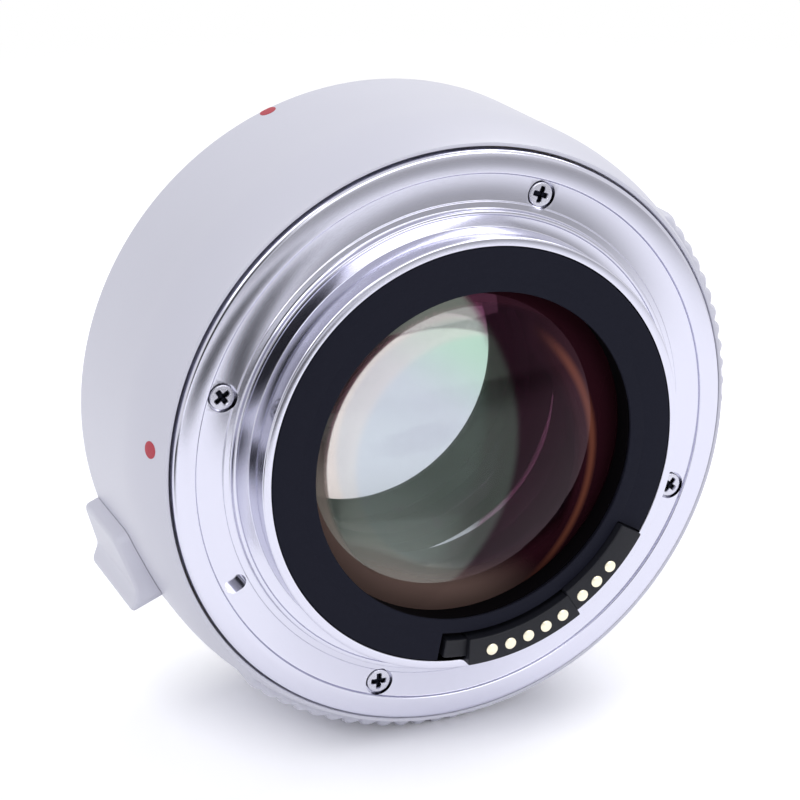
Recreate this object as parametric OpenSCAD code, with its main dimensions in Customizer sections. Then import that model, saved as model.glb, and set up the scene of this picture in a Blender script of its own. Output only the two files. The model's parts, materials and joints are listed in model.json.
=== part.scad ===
// Lens converter with a male bayonet at its rear, a female bayonet at its front and a sprung release lever.
// Each module draws along the optical axis: z counts rearwards from the rear flange seat, angles run
// counter-clockwise as seen from the rear. The axis then lies level, with the front towards +Y.

/* [Body] */
// Distance from the rear flange seat to the front flange seat
body_l = 27.2; // [26:0.1:30]
// Radius of the barrel
barrel_r = 35.85; // [35.4:0.05:38]
// Radius of the barrel at its rear edge
rear_edge_r = 34.1; // [34:0.05:34.6]
// Length of the rounded shoulder behind the rear edge
shoulder_l = 9.6; // [6:0.1:11]
// Thickness of the barrel wall
barrel_wall = 1.9; // [1.4:0.1:2]
// Step from the rear flange seat to the barrel's rear edge
edge_drop = 0.5; // [0.2:0.1:0.8]
// Height of the front mount above the barrel's front edge
front_lip = 1.1; // [0.6:0.1:1.6]
// Rounding of the barrel's front edge
front_round = 0.9; // [0.4:0.1:1]
// Thickness of the barrel's rear web
web_t = 2.25; // [1.8:0.05:3]
// Radius of the opening in the rear web
web_open_r = 26; // [25.5:0.1:26.2]
// Thickness of the ears that carry the front mount
ear_t = 2; // [1.6:0.1:2.4]
// Inner radius of the ears that carry the front mount
ear_r = 28.8; // [28.7:0.1:29]

/* [Grip ribs] */
// Height of a rib above the barrel
rib_h = 0.55; // [0.3:0.05:0.8]
// Width of a rib at its foot
rib_w = 2; // [1.2:0.1:2.1]
// Angle from one rib to the next
rib_pitch = 3.6; // [3.2:0.1:6]
// Number of ribs
rib_count = 48; // [10:1:50]
// Angle of the first rib
rib_start = -131.4; // [-142.2:3.6:-127.8]
// Distance of the ribs from the rear flange seat
rib_from = 2.6; // [2.2:0.1:6]
// Length of the ribs
rib_l = 19.4; // [10:0.1:20]
// Angle over which the ribs rise to their full height at both ends of the band
rib_fade = 38; // [10:1:60]

/* [Rear bayonet] */
// Radius of the rear flange
flange_r = 33.5; // [33:0.05:33.6]
// Thickness of the rear flange
flange_t = 2; // [1.8:0.1:2.6]
// Inner radius of the raised seat
seat_r = 30.85; // [30.85:0.05:31.5]
// Depth of the screw track below the seat
track_d = 0.3; // [0.1:0.05:0.4]
// Radius of the locating collar
collar_r = 26.9; // [26.6:0.05:26.95]
// Height of the locating collar above the seat
collar_h = 0.6; // [0.3:0.1:0.7]
// Radius of the bayonet tube
tube_r = 25.1; // [25:0.05:25.2]
// Radius of the bore in the bayonet tube
bore_r = 24.1; // [24:0.05:24.2]
// Height of the bayonet above the seat
bayonet_h = 4.7; // [4.5:0.1:5.2]
// Radius over the tabs
tab_r = 26.4; // [26:0.05:26.6]
// Thickness of a tab
tab_t = 1.5; // [1.2:0.05:1.6]
// Radius of the circle of the rear mount screws
rear_screw_pcd_r = 29.15; // [29:0.05:29.3]
// Angle of the first rear mount screw
rear_screw_a = 70.6; // [65:0.1:75]
// Thickness of the shim under the rear flange
shim_t = 0.15; // [0.1:0.05:0.3]

/* [Lock] */
// Angle of the lock pin and of the lock slot
lock_a = 204.3; // [203:0.1:205]
// Distance of the lock pin from the optical axis
lock_r = 29.2; // [29.1:0.05:29.3]
// Radius of the lock pin
lock_pin_r = 0.95; // [0.7:0.05:1]
// How far the lock pin stands out of the front flange
lock_pin_out = 1.6; // [1.2:0.1:1.7]
// Travel of the release lever
lever_travel = 2; // [1.6:0.1:2]
// Angle of the middle of the release lever
lever_a = 202.2; // [201.6:0.1:203.2]
// Width of the release lever round the barrel
lever_w = 7.3; // [6.6:0.1:9]
// Height of the lever above the barrel at its low side
lever_low_h = 1.65; // [1.2:0.05:2.4]
// Height of the lever above the barrel at its high side
lever_high_h = 3.85; // [3:0.05:5]

/* [Contacts] */
// Angle of the first contact
contact_a = -43.4; // [-45:0.1:-43]
// Angle from one contact to the next
contact_pitch = 5.8; // [5.6:0.1:6]
// Extra angle between the two groups
contact_gap = 2.1; // [1.6:0.1:2.6]
// Radius of a contact pad
pad_r = 0.62; // [0.5:0.02:0.66]
// Travel of a sprung contact pin
pin_travel = 1; // [0.6:0.1:1.1]

/* [Optics] */
// Radius of the glass opening in the rear baffle
baffle_r = 19; // [18:0.1:19]
// Radius of the rear lens element
rear_lens_r = 20.5; // [20.2:0.1:20.8]
// Radius of curvature of the rear lens surface
rear_lens_curve = 60; // [55:1:90]
// Radius of the inner lens elements
lens_r = 17; // [16.5:0.1:17.4]
// Outer radius of the lens barrel's nose
nose_r = 20; // [19.4:0.1:20.2]
// How far the nose stands out of the front flange
nose_out = 7; // [6.9:0.1:9]

/* [Hidden] */
$fn = 96;
fit = 0.05;
slip = 0.1;
loose = 0.3;
eps = 0.01;

// Radius of the real barrel, which the other radii are set out for. A wider or slimmer barrel moves them all
// out or in with it, so that every wall and gap keeps its width.
set_out_r = 35.85;
grow = barrel_r - set_out_r;
rear_rim_r = rear_edge_r + grow;
web_hole_r = web_open_r + grow;
ear_inner_r = ear_r + grow;
flange_rim_r = flange_r + grow;
seat_inner_r = seat_r + grow;
collar_out_r = collar_r + grow;
tube_out_r = tube_r + grow;
tube_in_r = bore_r + grow;
tab_out_r = tab_r + grow;
rear_screw_at_r = rear_screw_pcd_r + grow;
lock_at_r = lock_r + grow;
baffle_in_r = baffle_r + grow;
rear_glass_r = rear_lens_r + grow;
glass_r = lens_r + grow;
tip_r = nose_r + grow;
neck_r = 20 + grow;
screw_r = 0.75;
screw_head_r = 1.5;
screw_head_h = 0.75;
screw_sink_r = 1.65;

// Planes along the axis, all counted rearwards from the rear flange seat.
front_z = -body_l;
barrel_front_z = front_z + front_lip;
web_rear_z = -flange_t - shim_t;
web_front_z = web_rear_z - web_t;
front_mount_t = 3.6;
front_seat_z = front_z + front_mount_t;
ear_rear_z = front_seat_z + ear_t;
shield_t = 0.6;
shield_rear_z = ear_rear_z + shield_t;
inner_r = barrel_r - barrel_wall;
flange_pocket_r = flange_rim_r + slip;

// Rounded shoulder of the barrel: an arc that is tangent to the barrel's side.
shoulder_drop = barrel_r - rear_rim_r;
shoulder_r = (shoulder_l * shoulder_l + shoulder_drop * shoulder_drop) / (2 * shoulder_drop);
shoulder_z = -edge_drop - shoulder_l;

rear_screw_angles = [for (i = [0 : 3]) rear_screw_a + i * 90];
rear_screw_seat_z = -track_d - screw_head_h - 0.05;

// Bayonet tabs as [start, end] angles; the lugs of the front mount lie over the same places.
tabs = [[-12, 47], [111.5, 159], [231, 282]];
lug_inset = 3;
tab_front_z = bayonet_h - tab_t;
tab_top_z = bayonet_h - 0.04;
throat_r = collar_out_r + slip;
lug_r = tube_out_r + loose;
lug_front_z = front_z + collar_h + 0.2;
lug_t = 1.8;
lug_rear_z = lug_front_z + lug_t;
front_mount_r = 33 + grow;
front_screw_pcd_r = 30.4 + grow;
front_screw_angles = [45, 135, 225, 315];
front_screw_seat_z = front_z + screw_head_h + 0.15;
lug_mid_r = (lug_r + throat_r) / 2;
lug_screw_angles = [for (t = tabs) (t[0] + t[1]) / 2];
lug_spring_t = 0.25;
track_chamfer = 0.9;
collar_chamfer = 0.3;

// Contacts: three in the inner group, five in the outer group.
block_face_z = bayonet_h + 1;
inner_group = 3;
contact_count = 8;
contact_drawn_r = 22.55;
contact_inner_r = contact_drawn_r + grow;
contact_outer_r = contact_inner_r + 0.45;
contact_step = contact_pitch * contact_drawn_r / contact_inner_r;
block_seat_z = bayonet_h - 1.2;
block_open_a = -31;
block_step_a = contact_a - inner_group * contact_step + contact_step / 2 - contact_gap / 2 + 0.5;
block_close_a = contact_a - (contact_count - 1) * contact_step - contact_gap - 7;
block_end_a = block_close_a - 7;
block_inner = [contact_inner_r - 1.75, contact_inner_r + 1.25];
block_outer = [contact_outer_r - 1.7, contact_outer_r + 1.5];
contact_angles = [for (i = [0 : contact_count - 1]) contact_angle(i)];
flex_t = 0.15;
pocket_d = 0.2;
flex_r = [contact_inner_r - 0.85, contact_outer_r + 0.45];
flex_span = [contact_angles[contact_count - 1] - 4.5, contact_a + 7.5];

// Lens barrel and its flange on the rear web.
cell_rear_z = block_seat_z;
cell_r = tube_in_r - 0.5;
cell_flange_r = 28.6 + grow;
cell_flange_t = 1.6;
cell_flange_z = web_front_z - cell_flange_t;
cell_front_z = front_z - nose_out;
cell_screw_pcd_r = web_hole_r + 0.9;
cell_screw_angles = [20, 140, 260];
cell_screw_r = 0.65;
flex_a = [-70, -62];

// Lens stack, from the rear vertex to the front vertex.
rear_vertex_z = cell_rear_z + 0.7;
rear_front_curve = 150;
rear_lens_t = 8.6;
rear_shoulder_z = rear_vertex_z - rear_lens_t + sag(rear_glass_r - 1, rear_front_curve) - 0.06;
rear_shoulder_r = rear_glass_r - 1.1;
rear_ring_r = rear_glass_r - 1.1;
rear_ring_z = rear_vertex_z - sag(rear_ring_r, rear_lens_curve) + 0.04;
seat_w = 1.4;
mid_seat_r = glass_r - seat_w;
mid_rear_z = rear_vertex_z - rear_lens_t - 2.1;
mid_t = 5.9;
mid_rear_curve = 50;
mid_front_curve = 70;
mid_front_z = mid_rear_z - mid_t;
spacer_t = 1.6;
pair_seat_z = mid_front_z - spacer_t;
pair_rear_curve = 60;
pair_rear_vertex_z = pair_seat_z + sag(mid_seat_r, pair_rear_curve) - 0.05;
pair_glue_curve = 38;
pair_glue_z = pair_rear_vertex_z - 10.6;
glue_gap = 0.02;
pair_front_z = pair_glue_z - 2;
front_spacer_t = 2.5;
front_lens_seat_z = pair_front_z - front_spacer_t;
front_lens_rear_curve = 80;
front_lens_rear_z = front_lens_seat_z + sag(mid_seat_r, front_lens_rear_curve) - 0.05;
front_lens_curve = 45;
front_lens_z = front_lens_rear_z - 8.3;
front_ring_z = front_lens_z + sag(mid_seat_r, front_lens_curve) - 0.04;
front_ring_t = 3;
front_lip_w = 1.8;
front_lip_t = 1.4;

// Release lever and its carriage, in a frame turned to the middle of the lever.
lever_foot_r = barrel_r + loose;
lever_front_z = barrel_front_z + 0.5;
lever_rear = [[-lever_w / 2, -14.1], [-0.65, -11.4], [lever_w / 2 - 0.7, -9.8], [lever_w / 2, -10.5]];
lever_steps = 12;
stem_w = 4;
stem_l = 3.6;
stem_z = -20;
slider_x = [lock_at_r - 1.6, inner_r - 0.6];
slider_w = 6.8;
slider_l = 4.2;
lever_screw_grip = 2.4;
slider_rear_z = stem_z + slider_l;
pin_collar_r = 1.6;
pin_collar_t = 0.6;
bracket_z = [-10, -8.6];
bracket_a = [lock_a - 5.5, lock_a + 5.5];
bracket_x = [lock_at_r - 1.8, inner_r - 0.6];
bracket_leg_t = 0.8;
bracket_foot_t = 1;
bracket_screw_pcd_r = bracket_x[1] - 1.9;
bracket_screw_angles = [bracket_a[0] + 1.6, bracket_a[1] - 1.6];
lock_tail_z = bracket_z[1] + 1;
spring_wire_r = 0.17;
spring_mean_r = 1.35;
spring_turns = 6;

// Front contact block and its pins.
fblock_front_z = shield_rear_z + 0.6;
fblock_rear_z = fblock_front_z + 4.8;
fblock_r = [neck_r + 0.9, contact_outer_r + 2.2];
fblock_a = [contact_angles[contact_count - 1] - 9.9, contact_a + 9.4];
fblock_lug_a = [fblock_a[0] - 8, fblock_a[1] - 2];
fblock_lug_z = shield_rear_z + 1.2;
fblock_screw_pcd_r = ear_inner_r + 1;
fblock_lug_r = fblock_screw_pcd_r + 1.4;
pin_tip_r = 0.6;
pin_tip_z = front_z + block_face_z - 0.9;
pin_collar_z = fblock_front_z + 1;
chamber_r = 0.97;
contact_wire_r = 0.12;
contact_spring_r = 0.64;
contact_spring_turns = 4;

// Circuit board on posts of the rear web.
board_z = [-11, -10];
board_r = [cell_r + 1, inner_r - 0.9];
board_a = [-142, 18];
board_screw_pcd_r = inner_r - 2.95;
chip_at_r = inner_r - 5.15;
chip_a = -100;
chip_w = 6;
chip_t = 1;
board_screw_angles = [-130, -62, 8];
post_r = 1.7;
board_screw_r = 0.7;
front_flex_a = [-62, -56];
front_flex_r = fblock_r[1] + 0.4;

// Index marks: [angle, distance from the rear flange seat].
lens_mark = [110.55, body_l - 2.6];
camera_mark = [173.6, 3.2];
mark_r = 1;
mark_proud = 0.05;
mark_d = 0.6;

// Height of a spherical surface above its rim at radius r.
function sag(r, curve) = curve - sqrt(curve * curve - r * r);
// Angle and radius of contact i, counted from the inner group.
function contact_angle(i) = contact_a - i * contact_step - (i >= inner_group ? contact_gap : 0);
function contact_radius(i) = i < inner_group ? contact_inner_r : contact_outer_r;
// Slope of the barrel's side at a distance behind the rear flange seat, and its radius there.
function side_slope(d) = asin(max(0, -shoulder_z - d) / shoulder_r);
function side_radius(d) = barrel_r - shoulder_r * (1 - cos(side_slope(d)));
// Smooth step from 0 to 1.
function smooth(t) = t * t * (3 - 2 * t);

// Points of a coil's ring number i: a small polygon across the wire.
function coil_ring(mean_r, wire_r, length, turns, rings, sides, i) =
    let (turn = 360 * turns * i / rings, z = length * i / rings)
    [for (s = [0 : sides - 1])
        let (c = wire_r * cos(360 * s / sides), h = wire_r * sin(360 * s / sides))
        [(mean_r + c) * cos(turn), (mean_r + c) * sin(turn), z + h]];

// Lays the optical axis level, with the front towards +Y.
module axial() { rotate([90, 0, 0]) children(); }

// Places children at an angle and a distance from the optical axis.
module at(a, r, z = 0) { rotate([0, 0, a]) translate([r, 0, z]) children(); }

// Places children on the barrel's side at a mark, with their z axis pointing straight out of the surface.
module on_side(m) {
    at(m[0], side_radius(m[1]), -m[1]) rotate([0, 90 - side_slope(m[1]), 0]) children();
}

// Ring, sector and rod: r, a and z are [from, to] pairs, except for the radius of the rod.
module ring(r, z) {
    rotate_extrude() translate([r[0], z[0]]) square([r[1] - r[0], z[1] - z[0]]);
}

module sector(r, a, z) {
    rotate([0, 0, a[0]]) rotate_extrude(angle = a[1] - a[0])
        translate([r[0], z[0]]) square([r[1] - r[0], z[1] - z[0]]);
}

module flat_sector(r, a) {
    far = 2 * r[1];
    intersection() {
        difference() {
            circle(r = r[1]);
            circle(r = r[0]);
        }
        polygon([[0, 0], [far * cos(a[0]), far * sin(a[0])], [far * cos(a[1]), far * sin(a[1])]]);
    }
}

module rod(r, z) { translate([0, 0, z[0]]) cylinder(r = r, h = z[1] - z[0]); }

// The same rod at several angles.
module rods(angles, distance, r, z) { for (a = angles) at(a, distance) rod(r, z); }

module ball(curve, z) { translate([0, 0, z]) sphere(r = curve, $fn = 200); }

// Solid of a coil spring: one unbroken tube of triangles along a helix.
module coil(mean_r, wire_r, length, turns, per_turn, sides) {
    rings = turns * per_turn;
    points = [for (i = [0 : rings]) each coil_ring(mean_r, wire_r, length, turns, rings, sides, i)];
    walls = [for (i = [0 : rings - 1], s = [0 : sides - 1])
        let (a = i * sides + s, b = i * sides + (s + 1) % sides)
        each [[a, b, a + sides], [b, b + sides, a + sides]]];
    start = [for (s = [1 : sides - 2]) [0, s + 1, s]];
    last = rings * sides;
    end = [for (s = [1 : sides - 2]) [last, last + s, last + s + 1]];
    polyhedron(points = points, faces = concat(walls, start, end), convexity = 10);
}

// Screw with its head towards +z and the head's seat at z = 0; a cross is cut into the head.
module cross_screw(shank_r, length, head_r, head_h) {
    slot_w = head_r * 0.32;
    slot_l = head_r * 1.25;
    difference() {
        union() {
            rod(shank_r, [-length, eps]);
            rod(head_r, [0, head_h]);
        }
        for (a = [45, 135]) rotate([0, 0, a])
            translate([-slot_l / 2, -slot_w / 2, head_h * 0.4]) cube([slot_l, slot_w, head_h]);
    }
}

// The same screw with its head towards the front.
module front_screw(shank_r, length, head_r, head_h) {
    rotate([180, 0, 0]) cross_screw(shank_r, length, head_r, head_h);
}

// Half outline of the barrel's outer form.
module barrel_outline() {
    straight_z = barrel_front_z + front_round;
    translate([0, straight_z]) square([barrel_r, shoulder_z - straight_z]);
    translate([0, barrel_front_z]) square([barrel_r - front_round, front_round + eps]);
    translate([barrel_r - front_round, straight_z]) circle(r = front_round);
    intersection() {
        translate([0, shoulder_z - eps]) square([barrel_r, shoulder_l + eps]);
        translate([barrel_r - shoulder_r, shoulder_z]) circle(r = shoulder_r, $fn = 200);
    }
}

// One band of axial grip ribs, cut to length, bevelled at their ends and rising from both ends of the band.
module ribs() {
    foot_r = barrel_r - 0.35;
    crest_r = barrel_r + rib_h;
    inside_r = inner_r + 0.15;
    half = rib_w / 2 / barrel_r * 180 / PI;
    span = (rib_count - 1) * rib_pitch;
    fade = min(rib_fade, span / 2);
    first_a = rib_start - half;
    last_a = rib_start + span + half;
    teeth = [for (i = [0 : rib_count - 1])
        let (run = i * rib_pitch, a = rib_start + run)
        let (h = rib_h * (0.15 + 0.85 * smooth(min(1, min(run, span - run) / fade))))
        let (top_r = barrel_r + h, upper_r = top_r - 0.12 * h, lower_r = top_r - 0.45 * h)
        each [[foot_r, a - half], [lower_r, a - half * 0.62], [upper_r, a - half * 0.35],
              [top_r, a - half * 0.12], [top_r, a + half * 0.12], [upper_r, a + half * 0.35],
              [lower_r, a + half * 0.62], [foot_r, a + half]]];
    back = [for (i = [0 : rib_count]) [inside_r, last_a - (last_a - first_a) * i / rib_count]];
    outline = [for (p = concat(teeth, back)) [p[0] * cos(p[1]), p[0] * sin(p[1])]];
    rear_z = -rib_from;
    tip_z = rear_z - rib_l;
    bevel = crest_r - foot_r + 1;
    intersection() {
        translate([0, 0, tip_z]) linear_extrude(height = rib_l) polygon(outline);
        rotate_extrude() polygon([
            [inside_r - 1, rear_z + 1], [foot_r - 1.4, rear_z + 1], [foot_r - 0.4, rear_z],
            [crest_r + 0.6, rear_z - bevel], [crest_r + 0.6, tip_z + bevel], [foot_r - 0.4, tip_z],
            [foot_r - 1.4, tip_z - 1], [inside_r - 1, tip_z - 1]
        ]);
    }
}

module lock_hole(r, z) { at(lock_a, lock_at_r) rod(r, z); }

// Ears inside the front end: four for the mount screws, one for the lock pin, one for the contact block.
module ears() {
    z = [front_seat_z, ear_rear_z];
    root_r = inner_r + 0.5;
    for (a = front_screw_angles) sector([ear_inner_r, root_r], [a - 15, a + 15], z);
    sector([ear_inner_r - 1.2, root_r], [lock_a - 5, lock_a + 5], z);
    sector([ear_inner_r, root_r], [fblock_lug_a[0] - 6, fblock_lug_a[0] + 6], z);
}

module barrel() color("#c9c9d6") axial() {
    through = [web_front_z - 1, web_rear_z + 1];
    lip_z = front_seat_z + 0.3;
    difference() {
        union() {
            difference() {
                union() {
                    rotate_extrude() barrel_outline();
                    ribs();
                }
                rod(flange_pocket_r, [web_rear_z, 1]);
                rod(web_hole_r, [web_front_z - 1, 1]);
                rod(inner_r, [lip_z, web_front_z]);
                rod(front_mount_r + slip, [barrel_front_z - 1, lip_z + 0.5]);
            }
            ears();
            rods(board_screw_angles, board_screw_pcd_r, post_r, [board_z[1], web_front_z + 0.5]);
        }
        rods(rear_screw_angles, rear_screw_at_r, screw_r + fit, through);
        rods(cell_screw_angles, cell_screw_pcd_r, cell_screw_r + fit, through);
        rods(front_screw_angles, front_screw_pcd_r, screw_r + fit, [front_seat_z - 1, ear_rear_z - 0.3]);
        rods(fblock_lug_a, fblock_screw_pcd_r, cell_screw_r + fit, [front_seat_z + 0.4, ear_rear_z + 1]);
        rods(board_screw_angles, board_screw_pcd_r, board_screw_r + fit, [board_z[1] - 1, board_z[1] + 4]);
        rods(bracket_screw_angles, bracket_screw_pcd_r, cell_screw_r + fit,
             [web_front_z - 1, web_front_z + 1.6]);
        lock_hole(lock_pin_r + fit, [front_seat_z - 1, ear_rear_z + 1]);
        rotate([0, 0, lever_a]) translate([inner_r - 2, -stem_w / 2 - loose, stem_z - loose])
            cube([barrel_wall + 5, stem_w + 2 * loose, stem_l + lever_travel + 2 * loose]);
        for (m = [lens_mark, camera_mark]) on_side(m) rod(mark_r + fit, [-mark_d, 3]);
    }
}

module index_dot(m) color("#d03040") axial() on_side(m) rod(mark_r, [-mark_d, mark_proud]);

module lens_index_dot() index_dot(lens_mark);

module camera_index_dot() index_dot(camera_mark);

module rear_mount() color("#d8d8e2") axial() {
    cone_r = collar_out_r + collar_chamfer;
    difference() {
        union() {
            rotate_extrude() polygon([
                [tube_in_r, -flange_t], [flange_rim_r - 0.3, -flange_t], [flange_rim_r, -flange_t + 0.3],
                [flange_rim_r, -0.35], [flange_rim_r - 0.35, 0], [seat_inner_r, 0],
                [seat_inner_r - 0.05, -track_d], [cone_r, -track_d], [collar_out_r, collar_h],
                [tube_out_r, collar_h],
                [tube_out_r, bayonet_h - 0.25], [tube_out_r - 0.25, bayonet_h], [tube_in_r, bayonet_h]
            ]);
            for (t = tabs) rotate([0, 0, t[0]]) rotate_extrude(angle = t[1] - t[0]) polygon([
                [tube_out_r - 0.5, tab_front_z], [tab_out_r, tab_front_z], [tab_out_r, tab_top_z - 0.3],
                [tab_out_r - 0.3, tab_top_z], [tube_out_r - 0.5, tab_top_z]
            ]);
        }
        rods(rear_screw_angles, rear_screw_at_r, screw_r + slip, [-flange_t - 1, 1]);
        rods(rear_screw_angles, rear_screw_at_r, screw_sink_r, [rear_screw_seat_z, 1]);
        for (x = [-0.3, 0.3]) at(lock_a, lock_at_r + x) rod(lock_pin_r, [-flange_t - 1, 1]);
        sector([block_outer[0], block_outer[1] + slip], [block_close_a - 1, block_step_a + 1],
               [block_seat_z - 0.5, bayonet_h + 1]);
    }
}

module rear_mount_screws() color("#b8b8c4") axial()
    for (a = rear_screw_angles) at(a, rear_screw_at_r, rear_screw_seat_z)
        cross_screw(screw_r, 2.6, screw_head_r, screw_head_h);

module mount_shim() color("#c8a85a") axial() difference() {
    ring([web_hole_r + 0.2, flange_rim_r - 0.1], [web_rear_z, -flange_t]);
    rods(rear_screw_angles, rear_screw_at_r, screw_r + slip, [-4, 0]);
}

module rear_baffle() color("#1c1e28") axial() difference() {
    rotate_extrude() polygon([
        [baffle_in_r + 0.5, block_seat_z], [tube_in_r - slip, block_seat_z],
        [tube_in_r - slip, bayonet_h - 0.1], [tube_in_r - slip - 0.1, bayonet_h], [baffle_in_r, bayonet_h]
    ]);
    sector([block_inner[0] - slip, tube_in_r + 1], [block_end_a - 0.3, block_open_a + 0.3],
           [block_seat_z - 1, bayonet_h + 1]);
}

module rear_contact_block() color("#14151b") axial() difference() {
    pocket = [block_seat_z - 1, block_seat_z + pocket_d];
    translate([0, 0, block_seat_z]) linear_extrude(height = block_face_z - block_seat_z) {
        flat_sector(block_inner, [block_step_a - 0.5, block_open_a]);
        flat_sector(block_outer, [block_close_a, block_step_a]);
        flat_sector([block_outer[0] + 0.2, block_inner[1] - 0.2], [block_end_a, block_close_a + 0.5]);
    }
    sector([block_inner[0] - 1, block_outer[1] + 1], [block_end_a - 1, block_close_a],
           [bayonet_h + 0.3, block_face_z + 1]);
    for (i = [0 : contact_count - 1]) at(contact_angle(i), contact_radius(i))
        rod(pad_r + 0.03, [block_seat_z - 1, block_face_z + 1]);
    sector([flex_r[0] - 0.1, flex_r[1] + 0.1], [flex_span[0] - 0.5, flex_span[1] + 0.5], pocket);
    sector([flex_r[1], cell_r + 0.35], [flex_a[0] - 1, flex_a[1] + 1], pocket);
}

module rear_contacts() color("#d8c48a") axial()
    for (i = [0 : contact_count - 1]) at(contact_angle(i), contact_radius(i)) intersection() {
        rod(pad_r, [block_seat_z + flex_t, block_face_z + 0.3]);
        translate([0, 0, block_face_z - 1.15]) union() {
            sphere(r = 1.4);
            rod(2, [-3, 0]);
        }
    }

module rear_flex() color("#b8792f") axial() {
    tail_r = cell_r + 0.1;
    sector(flex_r, flex_span, [block_seat_z, block_seat_z + flex_t]);
    sector([flex_r[1] - 0.05, tail_r + flex_t], flex_a, [block_seat_z, block_seat_z + flex_t]);
    sector([tail_r, tail_r + flex_t], flex_a, [board_z[1] + flex_t - eps, block_seat_z + eps]);
    sector([tail_r, board_r[0] + 1.9], flex_a, [board_z[1], board_z[1] + flex_t]);
}

module optics_barrel() color("#17181d") axial() difference() {
    through = [cell_flange_z - 1, web_front_z + 1];
    union() {
        rod(cell_r, [cell_flange_z, cell_rear_z]);
        rod(cell_flange_r, [cell_flange_z, web_front_z]);
        rotate_extrude() polygon([
            [0, cell_front_z], [tip_r, cell_front_z], [tip_r, front_seat_z], [neck_r, front_seat_z],
            [neck_r, cell_flange_z + 1], [0, cell_flange_z + 1]
        ]);
    }
    rod(rear_glass_r + fit, [rear_shoulder_z, cell_rear_z + 1]);
    rod(rear_shoulder_r, [mid_rear_z + 1.8, rear_shoulder_z + 1]);
    rod(mid_seat_r, [mid_rear_z - 1, mid_rear_z + 3]);
    rod(glass_r + fit, [cell_front_z - 1, mid_rear_z]);
    rods(cell_screw_angles, cell_screw_pcd_r, cell_screw_r + slip, through);
    sector([cell_r - 0.1, cell_flange_r + 1], [flex_a[0] - 2, flex_a[1] + 2],
           [cell_flange_z - 1, web_front_z + 0.6]);
    lock_hole(lock_pin_r + 0.8, through);
}

module optics_screws() color("#9a9aa6") axial()
    for (a = cell_screw_angles) at(a, cell_screw_pcd_r, cell_flange_z)
        front_screw(cell_screw_r, cell_flange_t + web_t - 0.3, 1.2, 0.7);

module rear_element() color("#6a4a58") axial() intersection() {
    front_vertex_z = rear_vertex_z - rear_lens_t;
    rod(rear_glass_r, [front_vertex_z, rear_vertex_z]);
    ball(rear_lens_curve, rear_vertex_z - rear_lens_curve);
    ball(rear_front_curve, front_vertex_z + rear_front_curve);
}

module rear_retaining_ring() color("#101116") axial()
    ring([rear_ring_r, rear_glass_r], [rear_ring_z, cell_rear_z - slip]);

module middle_element() color("#7a6a78") axial() difference() {
    rod(glass_r, [mid_front_z, mid_rear_z]);
    ball(mid_rear_curve, mid_rear_z - sag(mid_seat_r, mid_rear_curve) + mid_rear_curve);
    ball(mid_front_curve, mid_front_z + sag(mid_seat_r, mid_front_curve) - mid_front_curve);
}

module rear_spacer() color("#101116") axial() ring([mid_seat_r, glass_r], [pair_seat_z, mid_front_z]);

module pair_rear_element() color("#7a7088") axial() intersection() {
    rod(glass_r, [pair_glue_z, pair_rear_vertex_z]);
    ball(pair_rear_curve, pair_rear_vertex_z - pair_rear_curve);
    ball(pair_glue_curve, pair_glue_z + pair_glue_curve);
}

module pair_front_element() color("#84788c") axial() difference() {
    rod(glass_r, [pair_front_z, pair_glue_z + sag(glass_r, pair_glue_curve)]);
    ball(pair_glue_curve + glue_gap, pair_glue_z + pair_glue_curve);
}

module front_spacer() color("#101116") axial()
    ring([mid_seat_r, glass_r], [front_lens_seat_z, pair_front_z]);

module front_element() color("#746a80") axial() intersection() {
    rod(glass_r, [front_lens_z, front_lens_rear_z]);
    ball(front_lens_rear_curve, front_lens_rear_z - front_lens_rear_curve);
    ball(front_lens_curve, front_lens_z + front_lens_curve);
}

// Ring in front of the front element, with a lip that narrows the mouth and stays clear of the glass.
module front_retaining_ring() color("#101116") axial() {
    lip_r = mid_seat_r - front_lip_w;
    end_z = front_ring_z - front_ring_t;
    rotate_extrude() polygon([
        [lip_r, end_z], [glass_r, end_z], [glass_r, front_ring_z], [mid_seat_r, front_ring_z],
        [mid_seat_r, end_z + front_lip_t + 0.7], [lip_r, end_z + front_lip_t]
    ]);
}

module front_mount() color("#d2d2dc") axial() difference() {
    through = [front_z - 1, front_seat_z + 1];
    union() {
        rotate_extrude() polygon([
            [throat_r + track_chamfer, front_z], [front_mount_r - 0.5, front_z],
            [front_mount_r, front_z + 0.5], [front_mount_r, front_seat_z], [throat_r, front_seat_z],
            [throat_r, front_z + track_chamfer]
        ]);
        for (t = tabs)
            sector([lug_r, throat_r + 0.1], [t[0] + lug_inset, t[1] - lug_inset], [lug_front_z, lug_rear_z]);
    }
    rods(front_screw_angles, front_screw_pcd_r, screw_r + slip, through);
    rods(front_screw_angles, front_screw_pcd_r, screw_sink_r, [front_z - 1, front_screw_seat_z]);
    lock_hole(lock_pin_r + fit, through);
    rods(lug_screw_angles, lug_mid_r, 0.45, [lug_rear_z - 1.2, lug_rear_z + 1]);
}

module front_mount_screws() color("#b8b8c4") axial()
    for (a = front_screw_angles) at(a, front_screw_pcd_r, front_screw_seat_z)
        front_screw(screw_r, front_mount_t + ear_t - screw_head_h - 0.6, screw_head_r, screw_head_h);

module mount_springs() color("#a8a8b2") axial() difference() {
    for (t = tabs)
        sector([lug_r + 0.2, throat_r - 0.2], [t[0] + 2 * lug_inset, t[1] - 2 * lug_inset],
               [lug_rear_z, lug_rear_z + lug_spring_t]);
    rods(lug_screw_angles, lug_mid_r, 0.45, [lug_rear_z - 1, lug_rear_z + 1]);
}

module spring_screws() color("#9a9aa6") axial()
    for (a = lug_screw_angles) at(a, lug_mid_r, lug_rear_z + lug_spring_t) cross_screw(0.4, 1.2, 0.65, 0.35);

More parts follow.
